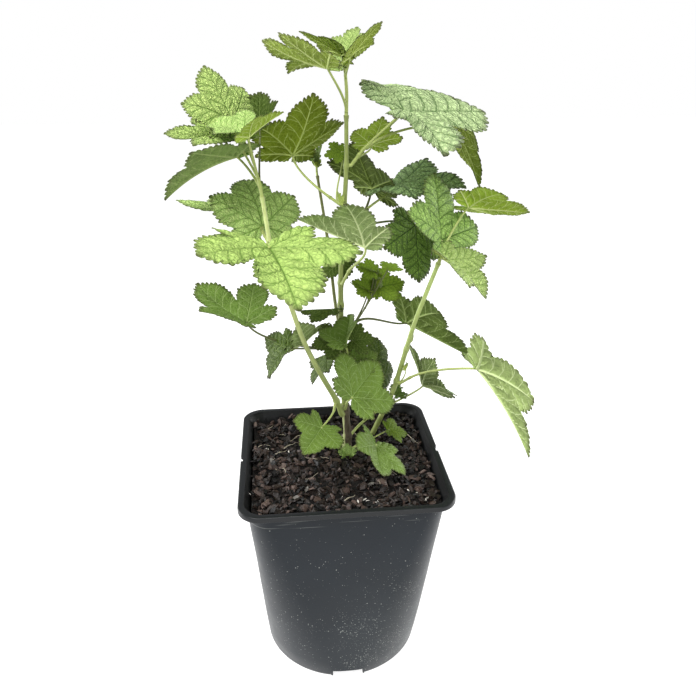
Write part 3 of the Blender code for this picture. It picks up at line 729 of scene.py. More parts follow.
# ridged tube of one limb, thicker at each knuckle where a stem leaves it
def buildShoot(name, spec, material, slotName):
    look = shootLook
    run, tangent = limbRun(spec, look['ringStep'])
    root, tip = (r * mm for r in spec['radii'])
    limbs[name] = (run, tangent, (root, tip))
    share, length = shareAlong(run)
    radii = root + (tip - root) * share
    for borne in [*masses.values(), *shoots.values()]:
        if borne.get('limb') == name:
            off = (share - borne['at']) * length / mm / look['knuckleLong']
            radii = radii * (1 + look['knuckle'] * np.exp(-off ** 2))
    if 'limb' not in spec and spec['points'][0][2] < compost['top'] + 1:
        run = np.vstack([run[0] - np.array((0, 0, look['sink'] * mm)), run])
        radii = np.concatenate([[radii[0] * look['rootSwell']], radii])
    ripple = []
    ridge = look['woodyRidge'] if name == 'trunk' else look['ridge']
    around = look['ridgeTurns']
    for p in run:
        ring = []
        for a in np.linspace(0, 2 * math.pi, look['sides'], endpoint=False):
            spot = Vector((math.cos(a) * around, math.sin(a) * around, p[2] / mm * look['ridgeRise']))
            fine = look['ridgeFine'] * noise.noise(spot * look['fineScale'])
            ring.append(1 + ridge * (noise.noise(spot) + fine))
        ripple.append(np.array(ring))
    points, faces = tubeArrays(run, radii, look['sides'], ripple)
    obj = meshFromArrays(name + '_skin', points, faces, [0] * len(faces), [material])
    smoothShade(obj, 60)
    finishPiece(obj, slotName, name)


# masses of leaves, by the same stems and blades as the solids; a tone name ends each leaf's row

masses = {
    'top_leaves': dict(limb='centre_shoot', at=1, points=[(6, 5, 456), (5, 3, 467)],
                       radii=(1.3, 1.1), leaves=[
        (-8, -11, 472, 167, -11, 3, 43, 21, -20, -13, 70, 38, 0.1, 'fresh'),
        (3, 7, 479, 172, -32, 12, 30, 10, 12, 20, 23, 60, 0.9, 'olive'),
        (6, -12, 478, 345, -50, 2, 28, 3, 10, 36, -8, 55, 0.9, 'olive'),
        (8, 34, 478, 49, -57, -11, 22, 17, 9, 0, 15, 51, 0.9, 'fresh'),
    ]),
    'left_tip_leaves': dict(limb='left_shoot', at=1, points=[(-54, -7, 398), (-55, -7, 403)],
                            radii=(1.4, 1.2), leaves=[
        (-70, 4, 438, 142, -64, -4, 40, 4, 15, 54, 23, 50, 0.6, 'bright'),
        (-66, 12, 428, 186, -2, -1, 49, 12, -5, 28, -4, 44, 0.5, 'bright'),
        (-62, -17, 434, 156, -12, -7, 26, 27, 3, 42, -1, 64, 0.9, 'pale'),
        (-59, -25, 432, 5, -39, -18, 26, 16, 10, 12, 15, 63, 0.9, 'lemon'),
        (-70, 10, 415, 189, 13, 13, 56, 7, 30, -10, 7, 55, 0.2, 'mid'),
        (-53, 19, 434, 85, -51, -5, 24, 51, -6, 15, 8, 59, 0.5, 'deep'),
    ]),
    'left_fan_leaves': dict(limb='left_shoot', at=0.78, heading=250, points=[(-50, -20, 361)],
                            radii=(1.3, 1.1), leaves=[
        (-49, -53, 368, 285, 6, -4, 66, 16, 20, 16, 6, 59, 0.9, 'front'),
    ]),
    'left_middle_leaves': dict(limb='left_shoot', at=0.84, heading=110, points=[(-54, 2, 364)],
                               radii=(1.3, 1.1), leaves=[
        (-54, 12, 365, 107, -56, 10, 47, 2, 42, 17, 14, 53, 0.9, 'pale'),
        (-66, 49, 368, 181, -2, 2, 52, 16, -15, 6, 16, 57, 0.6, 'pale'),
    ]),
    'upper_left_leaves': dict(limb='centre_shoot', at=0.72, heading=130, points=[(-5, 22, 383)],
                              radii=(1.2, 1.1), leaves=[
        (-30, 51, 409, 304, -48, -12, 50, 23, -26, 6, 42, 55, 0.9, 'olive'),
    ]),
    'upper_right_leaves': dict(limb='centre_shoot', at=0.85, heading=0, points=[(15, 8, 415)],
                               radii=(1.3, 1.1), leaves=[
        (43, -8, 445, 20, 2, 21, 63, 26, -1, 65, 51, 90, 0.9, 'silver'),
        (27, 31, 418, 286, -43, -9, 26, 9, -22, 28, 21, 51, 0.5, 'lemon'),
        (91, 44, 429, 310, 48, -52, 50, 4, 16, -10, 17, 53, 0.9, 'olive'),
        (54, 62, 437, 59, 10, 19, 46, 8, 20, 16, 16, 52, 0.5, 'mid'),
    ]),
    'right_inner_leaves': dict(limb='centre_shoot', at=0.6, heading=45, points=[(15, 24, 360), (22, 32, 369)],
                               radii=(1.4, 1.1), leaves=[
        (32, 61, 381, 230, -54, -17, 46, 3, -4, 10, 36, 54, 0.95, 'deep'),
        (46, 52, 383, 341, -18, -9, 56, 12, 32, -23, 54, 60, 0.95, 'blue'),
        (64, 44, 355, 273, 63, -31, 44, 0, -1, 26, 4, 59, 0.3, 'moss'),
    ]),
    'right_tip_leaves': dict(limb='right_shoot', at=1, points=[(73, -9, 347)], radii=(1.4, 1.2), leaves=[
        (73, -8, 357, 94, -62, 44, 48, 21, 4, 40, 10, 71, 0.9, 'mid'),
        (95, 6, 377, 346, 3, -33, 42, 17, 0, 7, 27, 57, 0.6, 'lemon'),
        (71, -28, 349, 335, 29, -11, 39, 23, 17, -18, 51, 44, 0.9, 'fresh'),
        (99, 39, 341, 19, 51, 22, 46, 8, 20, 16, 16, 52, 0.5, 'mid'),
    ]),
    'centre_leaves': dict(limb='centre_shoot', at=0.46, heading=280, points=[(7, -3, 335)],
                          radii=(1.2, 1.0), leaves=[
        (15, -30, 360, 172, -22, 32, 48, 35, -1, 32, 17, 55, 0.9, 'grey'),
    ]),
    'mid_right_leaves': dict(limb='centre_shoot', at=0.28, heading=0, slim=0.62,
                             points=[(15, 12, 290), (26, 11, 309)], radii=(1.4, 1.0), leaves=[
        (30, 20, 326, 162, -26, 22, 18, 9, 11, 45, -1, 48, 1, 'twig'),
        (37, 6, 332, 53, -1, 18, 12, 19, -8, 31, 10, 53, 1, 'twig'),
        (37, 22, 310, 25, -6, 26, 17, 13, 16, 21, 25, 56, 0.95, 'twig'),
        (24, 15, 312, 157, -19, 31, 16, 1, -5, 10, 23, 52, 0.95, 'twig'),
        (60, 44, 273, 329, 18, -45, 58, 26, 4, 1, 29, 57, 0.3, 'dark'),
    ]),
    'left_low_leaves': dict(limb='centre_shoot', at=0.21, heading=175, points=[(-10, 14, 265)],
                            radii=(1.2, 1.0), leaves=[
        (-69, 0, 296, 150, -18, 3, 48, 29, -22, 16, 7, 62, 0.9, 'dark'),
        (-40, -8, 277, 166, 44, -15, 31, 20, 32, 24, -11, 53, 0.9, 'deep'),
        (-28, 12, 271, 278, -35, 26, 31, 18, -51, 27, 38, 60, 0.9, 'grey'),
    ]),
    'low_centre_leaves': dict(limb='centre_shoot', at=0.12, heading=285, slim=0.7, points=[(6, 1, 262)],
                              radii=(1.2, 1.0), leaves=[
        (3, -14, 281, 74, -34, -27, 26, 51, -4, 17, 11, 64, 0.95, 'green'),
    ]),
    'left_inner_leaves': dict(limb='centre_shoot', at=0.38, heading=260, points=[(2, 0, 302)],
                              radii=(1.1, 1.0), leaves=[
        (-6, -5, 306, 163, 8, 10, 24, -8, -6, 19, 10, 56, 0.9, 'deep'),
    ]),
    'low_rear_leaves': dict(limb='centre_shoot', at=0.06, heading=80, points=[(6, 24, 230)],
                            radii=(1.2, 1.0), leaves=[
        (-4, 50, 244, 206, 35, 35, 29, 4, 26, 50, -27, 55, 0.9, 'deep'),
        (30, 38, 224, 46, -49, 81, 40, 0, 38, 35, 19, 57, 0.9, 'deep'),
        (26, 81, 211, 85, 16, -35, 42, 8, 20, 16, 16, 52, 0.9, 'mid'),
    ]),
    'front_low_leaves': dict(limb='trunk', at=0.965, heading=265, points=[(5, -6, 227)],
                             radii=(1.2, 1.0), leaves=[
        (6, -37, 249, 59, -12, 47, 40, 16, -23, 20, 2, 50, 0.9, 'green'),
    ]),
    'right_low_leaves': dict(limb='right_shoot', at=0.34, heading=300, points=[(59, 16, 236)],
                             radii=(1.3, 1.1), leaves=[
        (98, -40, 269, 313, 37, -55, 70, 15, 20, -7, 26, 47, 0.9, 'pale'),
    ]),
    'right_rear_leaves': dict(limb='trunk', at=0.295, heading=40,
                              points=[(20, 29, 187), (33, 41, 190), (47, 46, 195)], radii=(1.2, 1.0), leaves=[
        (78, 51, 210, 249, -35, -38, 52, 31, -49, 24, 15, 32, 0.9, 'grey'),
    ]),
    'foot_left_leaves': dict(limb='left_shoot', at=0.1, heading=240, points=[(-5, -4, 220)],
                             radii=(1.1, 1.0), leaves=[
        (-16, -18, 213, 241, 10, -32, 28, 25, 17, 0, 27, 57, 0.9, 'green'),
    ]),
    'foot_right_leaves': dict(limb='trunk', at=0.085, heading=320, points=[(19, 6, 182)],
                              radii=(1.2, 1.0), leaves=[
        (27, -18, 195, 265, 9, -46, 37, 17, -16, -2, 28, 44, 0.9, 'green'),
        (43, 16, 188, 14, 22, 14, 17, 11, 3, 7, 25, 60, 0.6, 'olive'),
    ]),
    'rear_leaves': dict(limb='rear_shoot', at=1, points=[(-11, 76, 397)], radii=(1.0, 0.9), leaves=[
        (-30, 94, 420, 123, 7, -2, 44, 8, 20, 16, 16, 52, 0.9, 'mid'),
    ]),
    'rear_middle_leaves': dict(limb='rear_shoot', at=0.5, heading=70, points=[(4, 52, 340)],
                               radii=(1.0, 0.9), leaves=[
        (13, 84, 343, 79, 8, 3, 42, 8, 20, 16, 16, 52, 0.9, 'mid'),
        (-13, 80, 334, 112, 6, 7, 38, 8, 20, 16, 16, 52, 0.9, 'green'),
    ]),
    'rear_left_leaves': dict(limb='left_shoot', at=0.68, heading=90, points=[(-48, 10, 338)],
                             radii=(1.1, 1.0), leaves=[
        (-60, 62, 348, 116, 14, 0, 50, 8, 20, 16, 16, 52, 0.9, 'mid'),
    ]),
    'rear_right_leaves': dict(limb='right_shoot', at=0.53, heading=80, points=[(62, 32, 262)],
                              radii=(1.1, 1.0), leaves=[
        (71, 88, 267, 76, 18, 29, 40, 8, 20, 16, 16, 52, 0.9, 'green'),
    ]),
}

# small leaves and buds that the solids leave out, by the mass whose stem bears them
extras = {
    'rear_middle_leaves': [(5, 24, 336, 204, 34, -34, 20, 10, 14, 12, 12, 55, 0.02, 'deep')],
    'upper_left_leaves': [(4, 21, 415, 190, 8, -42, 12, 12, 10, 14, 14, 54, 0.3, 'olive'),
                          (1, 8, 381, 170, -76, 0, 8, 55, -10, 5, 5, 30, 0.05, 'fresh')],
    'rear_leaves': [(-12, 74, 399, 170, -66, 0, 10, 52, 5, 5, 5, 26, 1, 'moss'),
                    (-10, 75, 400, 20, -74, 0, 12, 52, 5, 5, 5, 26, 1, 'moss'),
                    (-11, 73, 396, 250, -38, 0, 7, 40, 5, 5, 5, 30, 1, 'olive')],
    'mid_right_leaves': [(31, 16, 314, 5, -14, 34, 21, 14, 14, 18, 18, 58, 0.35, 'twig'),
                         (23, 13, 313, 182, -38, -36, 14, 10, 12, 10, 10, 50, 0.2, 'twig'),
                         (27, 14, 328, 182, -22, -36, 13, 10, 12, 14, 14, 54, 0.7, 'twig'),
                         (29, 22, 311, 165, -78, 0, 16, 48, -8, 8, 8, 34, 1, 'grey'),
                         (31, 24, 311, 30, -82, 0, 17, 50, -6, 8, 8, 32, 1, 'grey'),
                         (31, 20, 310, 290, -64, 0, 12, 46, 5, 8, 8, 38, 1, 'olive')],
    'low_rear_leaves': [(5, 19, 259, 186, 6, -36, 13, 14, 10, 12, 12, 55, 0.9, 'olive')],
    'low_centre_leaves': [(8, 4, 267, 70, -52, 0, 7, 40, -20, 5, 5, 40, 0.9, 'pale'),
                          (6, 3, 266, 155, -60, 0, 8, 40, -20, 5, 5, 40, 0.9, 'pale'),
                          (11, -5, 261, 12, -20, 34, 19, 14, 14, 20, 18, 55, 0.9, 'green'),
                          (9, -7, 281, 4, -4, 40, 17, 14, 12, 16, 16, 55, 0.9, 'deep'),
                          (-2, -7, 281, 186, 2, -40, 19, 14, 12, 16, 16, 55, 0.9, 'deep')],
    'right_low_leaves': [(56, 21, 241, 330, -60, 0, 6, 44, -20, 5, 5, 36, 0.02, 'fresh')],
    'right_rear_leaves': [(54, 48, 203, 12, -4, 10, 10, 14, 12, 14, 14, 50, 0.95, 'dark'),
                          (52, 47, 209, 50, -16, 0, 8, 14, 12, 14, 14, 50, 0.9, 'dark')],
    'foot_right_leaves': [(6.5, 5, 172, 92, -64, 0, 9, 0, -12, -16, -16, 62, 0.02, 'pale'),
                          (5.5, 5, 172.5, 160, -46, 0, 6.5, 0, -12, -16, -16, 62, 0.02, 'pale'),
                          (8, 5, 172.5, 20, -46, 0, 6.5, 0, -12, -16, -16, 62, 0.02, 'pale'),
                          (7, 4, 172.5, 275, -20, 0, 5.5, 0, -20, -16, -16, 62, 0.02, 'pale')],
}

# leaves with deeper cuts between their lobes, on their right and left halves
deepCuts = {
    ('left_fan_leaves', 0): (0.36, 0.10), ('left_low_leaves', 0): (0.30, 0.10),
    ('right_tip_leaves', 0): (0.16, 0.10), ('upper_right_leaves', 0): (0.30, 0.08),
    ('top_leaves', 0): (0.26, 0.20), ('left_tip_leaves', 1): (0.1, 0.1),
}

# the tones are partly the leaves' own colours and partly painted light and shade: leaves in shade have darker
# tones, and some shaded leaves have paler tones that make up for the shade
# each tone's upper side, its veins, its underside, its raised veins, how quilted it is, and its stalk
toneParts = ('upper', 'vein', 'under', 'rib', 'quilted', 'stalk')
# in most tones the upper side's vein colour is darker than the blade: painted shade in the sunken veins;
# green, dark and deep have paler veins
toneRows = {
    'bright': ((0.59, 0.78, 0.24), (0.10, 0.19, 0.03), (0.40, 0.54, 0.14), (0.56, 0.66, 0.28), 1.0, 'pale'),
    'pale': ((0.62, 0.87, 0.28), (0.18, 0.32, 0.06), (0.42, 0.55, 0.19), (0.74, 0.86, 0.44), 0.9, 'pale'),
    'front': ((0.50, 0.69, 0.19), (0.13, 0.24, 0.04), (0.40, 0.54, 0.14), (0.56, 0.66, 0.28), 0.55, 'pale'),
    'fresh': ((0.49, 0.64, 0.21), (0.16, 0.27, 0.05), (0.41, 0.52, 0.10), (0.74, 0.84, 0.34), 0.9, 'pale'),
    'lemon': ((0.44, 0.60, 0.14), (0.22, 0.34, 0.06), (0.47, 0.65, 0.07), (0.84, 0.92, 0.40), 0.8, 'pale'),
    'silver': ((0.56, 0.72, 0.35), (0.09, 0.17, 0.05), (0.34, 0.46, 0.16), (0.50, 0.60, 0.26), 0.8, 'pale'),
    'mid': ((0.45, 0.68, 0.18), (0.10, 0.20, 0.04), (0.28, 0.40, 0.12), (0.42, 0.52, 0.20), 0.9, 'pale'),
    'moss': ((0.19, 0.32, 0.055), (0.04, 0.08, 0.015), (0.16, 0.24, 0.06), (0.38, 0.46, 0.18), 0.9, 'thin'),
    'blue': ((0.42, 0.61, 0.26), (0.07, 0.13, 0.05), (0.26, 0.36, 0.14), (0.42, 0.52, 0.20), 0.9, 'pale'),
    'twig': ((0.23, 0.35, 0.035), (0.10, 0.18, 0.02), (0.26, 0.36, 0.035), (0.50, 0.60, 0.20), 0.4, 'thin'),
    'green': ((0.145, 0.24, 0.036), (0.32, 0.44, 0.14),
              (0.17, 0.255, 0.06), (0.36, 0.46, 0.16), 0.3, 'pale'),
    'dark': ((0.130, 0.225, 0.036), (0.30, 0.40, 0.14),
             (0.145, 0.215, 0.044), (0.36, 0.46, 0.16), 0.3, 'thin'),
    'deep': ((0.043, 0.080, 0.006), (0.17, 0.24, 0.06),
             (0.078, 0.116, 0.014), (0.26, 0.34, 0.09), 0.5, 'thin'),
    'olive': ((0.160, 0.250, 0.020), (0.06, 0.11, 0.01),
              (0.22, 0.30, 0.018), (0.56, 0.66, 0.20), 0.7, 'pale'),
    'grey': ((0.20, 0.32, 0.10), (0.10, 0.18, 0.05), (0.33, 0.45, 0.155), (0.74, 0.84, 0.44), 0.5, 'pale'),
}
leafTones = {name: dict(zip(toneParts, row)) for name, row in toneRows.items()}
leafLook = dict(
    thick=0.34, lobeAngles=(0, 52, -52, 108, -108), lobeLengths=(1.0, 0.88, 0.88, 0.54, 0.54),
    lobeWidths=(26, 26, 26, 23, 23), lobeFall=0.20, lobePower=2.3, lobePoint=0.06, pointWide=6, lobeEnds=60,
    sinus=(28.4, 87), sinusShares=(1, 0.5), sinusWide=7, cuts=(0.03, 0.03),
    webbed=(120, 165, 0.28), baseFrom=138, baseAngle=176, baseCut=0.93, baseCutWide=40, baseCutPower=1.5,
    baseBend=0.2, outerBend=0.75, outerSpread=0.6, widest=150,
    toothEvery=0.066, toothDeep=0.035, leastTooth=2.8, leastDeep=1.1, toothBack=(0.95, 0.95, 0.62, -0.45),
    toothTurns=(1.0, 0.7), toothVaries=(0.8, 1.2), toothSwell=0.26, toothFades=(1.6, 1.7), toothGrows=5,
    edgeSteps=160,
    rings=(0.07, 0.15, 0.24, 0.33, 0.42, 0.51, 0.60, 0.69, 0.77, 0.85, 0.92, 0.965, 1.0), smallUnder=25,
    sideVein=0.155, sideLean=1.2, sideArch=1.3, forkAt=0.10, forkRate=2.6, sideNear=0.69,
    quilt=0.033, groove=0.030, groovePower=1.4, mainNear=1.3,
    calmBase=0.12, calmEdge=(1.03, 0.2), calmLeast=0.25,
    rib=0.45, ribWide=0.012, ribEnd=1.1, ribFullFrom=50, fullThickFrom=30, wave=0.022, waves=5,
    stainSpread=0.45, stainFullFrom=28, stainFrom=0.93, stainWide=0.06, bumpDeep=0.026, bumpBeneath=0.012,
    patches=(60, 3, 0.38, 0.66, 0.0, 0.45),
    roughness=0.52, underRoughness=0.65, gloss=0.12, shade=0.40, lit=1.34, toothStain=0.85,
    toothTone=(0.045, 0.032, 0.018),
)
stalkLook = dict(
    root=1.05, tip=0.75, sides=8, step=2.2, leastSteps=10, arrive=(0.64, 0.77), sunk=0.1,
    leave=0.25, enter=0.22, shade=0.6, streak=0.3, last=0.97, least=0.55, fullLong=110,
    rootFlare=(0.4, 0.05), bladeFlare=(0.25, 0.06),
    pale=(0.46, 0.54, 0.17), thin=(0.13, 0.15, 0.05),
)


# distance of the blade's edge from its base, as a share of the leaf's length
def bladeEdge(angle, cuts):
    look = leafLook
    reach = np.zeros_like(angle)
    for centre, long, width in zip(look['lobeAngles'], look['lobeLengths'], look['lobeWidths']):
        off = np.abs((angle - centre + 180) % 360 - 180)
        rounded = 1 - look['lobeFall'] * (off / width) ** look['lobePower']
        pointed = np.exp(-(off / look['pointWide']) ** 2)
        lobe = long * ((1 - look['lobePoint']) * rounded + look['lobePoint'] * pointed)
        reach = np.where(off < look['lobeEnds'], np.maximum(reach, lobe), reach)
    turn = np.abs(angle)
    cut = np.where(angle < 0, *cuts)
    for sinus, share in zip(look['sinus'], look['sinusShares']):
        reach = reach * (1 - share * cut * np.exp(-((turn - sinus) / look['sinusWide']) ** 2))
    low, high, least = look['webbed']
    reach = np.where((turn > low) & (turn < high), np.maximum(reach, least), reach)
    beyond = np.clip((turn - look['baseFrom']) / look['baseCutWide'], 0, 1)
    return reach * (1 - look['baseCut'] * beyond ** look['baseCutPower'])


# where spots of the flat blade go: the lobes curl down by their own amounts, the halves fold up
def bladeSpots(leaf, angle, reach, lift):
    look = leafLook
    x, y, z, heading, dip, roll, long, fold, curl, left, right, spread = leaf[:12]
    _, inner, _, outer, _ = look['lobeAngles']
    knots = (-180, -outer, -inner, 0, inner, outer, 180)
    base, share = look['baseBend'] * (left + right), look['outerBend']
    bends = (base, share * right, right, curl, left, share * left, base)
    bend = np.radians(np.interp(angle, knots, bends)) + 1e-6
    slope = math.radians(fold) * np.abs(np.sin(np.radians(angle)))
    basal = min(outer + look['outerSpread'] * (spread - inner), look['widest'])
    sideways = np.interp(np.abs(angle), knots[3:], (0, spread, basal, 180))
    turned = np.radians(np.copysign(sideways, angle))
    pitch = bend * reach - slope
    outward = (np.sin(pitch) + np.sin(slope)) / bend * long * mm - lift * np.sin(-pitch)
    height = (np.cos(pitch) - np.cos(slope)) / bend * long * mm + lift * np.cos(pitch)
    local = np.stack([outward * np.cos(turned), outward * np.sin(turned), height], -1)
    return np.array((x, y, z)) * mm + local @ turnMatrix(heading, dip, roll).T


# the toothed outline: each tooth has a tip, two steps down its long back and a notch, and leans to
# its lobe's tip; a row holds the spot, the tooth's shift, how much of a tip it is, and its lobe
def toothedOutline(long, rng, cuts):
    look = leafLook
    every = max(look['toothEvery'] * long, look['leastTooth']) / long
    usual = max(look['toothDeep'], look['leastDeep'] / long)
    _, inner, _, outer, _ = look['lobeAngles']
    half = (look['sinus'][0], inner, look['sinus'][1], outer, look['baseAngle'])
    marks = [-a for a in reversed(half)] + [0, *half]
    back, points = look['toothBack'], []
    for k, (first, last) in enumerate(zip(marks, marks[1:])):
        fromTip = first in look['lobeAngles']
        a, b = (first, last) if fromTip else (last, first)
        fine = np.linspace(a, b, look['edgeSteps'])
        reach = bladeEdge(fine, cuts)
        flat = np.stack([reach * np.cos(np.radians(fine)), reach * np.sin(np.radians(fine))], -1)
        arc = lengthAlong(flat)
        teeth = max(2, int(round(arc[-1] / every)))
        steps = np.linspace(0, arc[-1], 4 * teeth + 1)
        deep = usual * np.ones(4 * teeth + 1)
        for t in range(teeth):
            deep[4 * t:4 * t + 4] *= look['toothTurns'][t % 2] * rng.uniform(*look['toothVaries'])
        profile = np.array([back[i % 4] for i in range(4 * teeth + 1)])
        profile[0], deep[0] = back[0], usual
        # teeth die out towards the base and towards the cuts between lobes
        if abs(b) == look['baseAngle']:
            full, fade = look['toothFades']
            deep *= np.clip(full - fade * steps / arc[-1], 0, 1)
        elif 0 < k < len(marks) - 2:
            deep *= np.clip(look['toothGrows'] * (1 - steps / arc[-1]), 0, 1)
        out = readAt(steps, arc, flat)
        along = np.gradient(out, axis=0)
        along /= np.linalg.norm(along, axis=1)[:, None] + 1e-12
        outward = np.stack([along[:, 1], -along[:, 0]], -1)
        outward *= np.sign((outward * out).sum(1))[:, None]
        tip = np.where(profile > 0.9, 1.0, 0.0) * np.minimum(deep / usual, 1)
        rows = [(*row, a) for row in zip(out, outward * (deep * profile)[:, None], tip)]
        rows = rows if fromTip else rows[::-1]
        points += rows[1:] if k else rows
    return points


# lobe-local place of a flat spot: along the lobe's vein and across it, as shares of the leaf's length
def veinPlace(flat, lobe):
    ahead, aside = np.cos(np.radians(lobe)), np.sin(np.radians(lobe))
    x, y = flat[..., 0], flat[..., 1]
    return x * ahead + y * aside, y * ahead - x * aside


# distance to the nearest side vein or its fork, by the same rule as the material's
def sideVeinGap(u, v):
    look = leafLook
    across = np.abs(v)
    start = u - look['sideLean'] * across + look['sideArch'] * v * v
    phase = start / look['sideVein'] + np.where(v > 0, 0.5, 0.0)
    forked = phase + np.clip((across - look['forkAt']) * look['forkRate'], 0, 0.5)
    gap = np.minimum(np.abs(phase - np.round(phase)), np.abs(forked - np.round(forked)))
    return gap * look['sideVein'] * look['sideNear']


# points, faces, vein coordinates, material slots and tooth marks of one leaf, both skins
def leafArrays(leaf, seed, cuts):
    look, long = leafLook, leaf[6]
    rng = random.Random(seed)
    edge, shift, tips, lobeOf = (np.array(part) for part in zip(*toothedOutline(long, rng, cuts)))
    beside = look['stainSpread'] * np.maximum(np.roll(tips, 1), np.roll(tips, -1))
    tips = np.maximum(tips, beside) * min(1, long / look['stainFullFrom'])
    rings = look['rings'] if long > look['smallUnder'] else (*look['rings'][1:-1:2], 1.0)
    count, phase = len(edge), rng.uniform(0, 6.28)
    flats, marks = [np.zeros((1, 2))], [np.zeros(1)]
    for f in rings:
        flats.append(edge * f + shift * max(1 - (1 - f) / look['toothSwell'], 0) ** 1.5)
        marks.append(tips * min(max((f - look['stainFrom']) / look['stainWide'], 0), 1))
    flat, mark = np.concatenate(flats), np.concatenate(marks)
    lobe = np.concatenate([[0.0]] + [lobeOf] * len(rings))
    share = np.concatenate([[0.0]] + [np.full(count, f) for f in rings])
    u, v = veinPlace(flat, lobe)
    radial = np.linalg.norm(flat, axis=1)
    angle = np.degrees(np.arctan2(flat[:, 1], flat[:, 0]))
    # the fields between the veins swell, the whole blade waves towards its edge
    nearest = np.minimum(np.abs(v) * look['mainNear'], sideVeinGap(u, v))
    rim, rimWide = look['calmEdge']
    calm = np.clip(radial / look['calmBase'], 0, 1) * np.clip((rim - share) / rimWide, look['calmLeast'], 1)
    quilt = look['quilt'] * (1 - np.exp(-(nearest / look['groove']) ** look['groovePower'])) * calm
    wave = look['wave'] * share ** 3 * np.sin(np.radians(angle) * look['waves'] + phase)
    surface = (quilt + wave - 0.5 * look['quilt']) * long * mm
    ridge = np.exp(-(np.abs(v) / look['ribWide']) ** 2) * np.clip(look['ribEnd'] - share, 0, 1)
    ridge *= look['rib'] * mm * min(long / look['ribFullFrom'], 1)
    half = look['thick'] * mm / 2 * min(1, long / look['fullThickFrom'])
    upper = bladeSpots(leaf, angle, radial, surface + half)
    lower = bladeSpots(leaf, angle, radial, surface - half - ridge)
    total = len(flat)
    faces, slots, faceLobes = [], [], []

    def addFace(face, slot, ofLobe):
        faces.append(face)
        slots.append(slot)
        faceLobes.append(ofLobe)

    for j in range(count - 1):
        quads = [(0, 1 + j, 2 + j)]
        for k in range(len(rings) - 1):
            a = 1 + k * count + j
            quads.append((a, a + count, a + count + 1, a + 1))
        for quad in quads:
            addFace(quad, 0, lobeOf[j + 1])
            addFace(tuple(total + i for i in reversed(quad)), 1, lobeOf[j + 1])
    start = 1 + (len(rings) - 1) * count
    for j in range(count - 1):
        a, b = start + j, start + j + 1
        addFace((a, total + a, total + b, b), 0, lobeOf[j + 1])
    # the two straight sides at the leaf's base
    for column, order in ((0, 1), (count - 1, -1)):
        chain = [0] + [1 + k * count + column for k in range(len(rings))]
        for a, b in zip(chain, chain[1:]):
            addFace((a, total + a, total + b, b)[::order], 0, lobeOf[column])
    places = {each: np.stack(veinPlace(flat, each), -1) for each in set(lobeOf)}
    uvs = np.concatenate([places[each][[i % total for i in face]] for face, each in zip(faces, faceLobes)])
    return np.concatenate([upper, lower]), faces, uvs, slots, np.concatenate([mark, mark])


# the veins' widths and the puffed fields between them, as shares of the leaf's length; above and
# beneath, each mask has the strength it always has and the strength that the quilting adds
veinLook = dict(
    net=20.0, fineNet=42.0, wiggle=0.0264, wiggleScale=8.0, wiggleDetail=3.0, netRandom=0.8,
    mainWidth=(0.012, -0.008), sideWidth=(0.0075, -0.010), mainCore=0.35, sideCore=0.3, ribEdges=(1.7, 0.8),
    netLine=(0.09, 0.01), fineLine=(0.16, 0.02), fineShare=0.4, mainValley=0.022, sideValley=0.017,
    puff=0.40, finePuff=0.35, finePuffShare=0.25,
    # the Puff mask paints light above and shade beneath, the Valley mask paints shade in the vein grooves
    above=dict(Puff=(0, 0.65), Valley=(0, 0.95), Net=(0.18, 0.48), Side=(0.78, 0), Main=(0.90, 0)),
    beneath=dict(Puff=(0.45, 0), Net=(0.10, 0), Side=(0.78, 0), Rib=(0.9, 0), Main=(0.90, 0)),
    bumpAbove=(0.3, 0.7), bumpBeneath=0.6, sideRaised=0.7, netRaised=0.2,
)


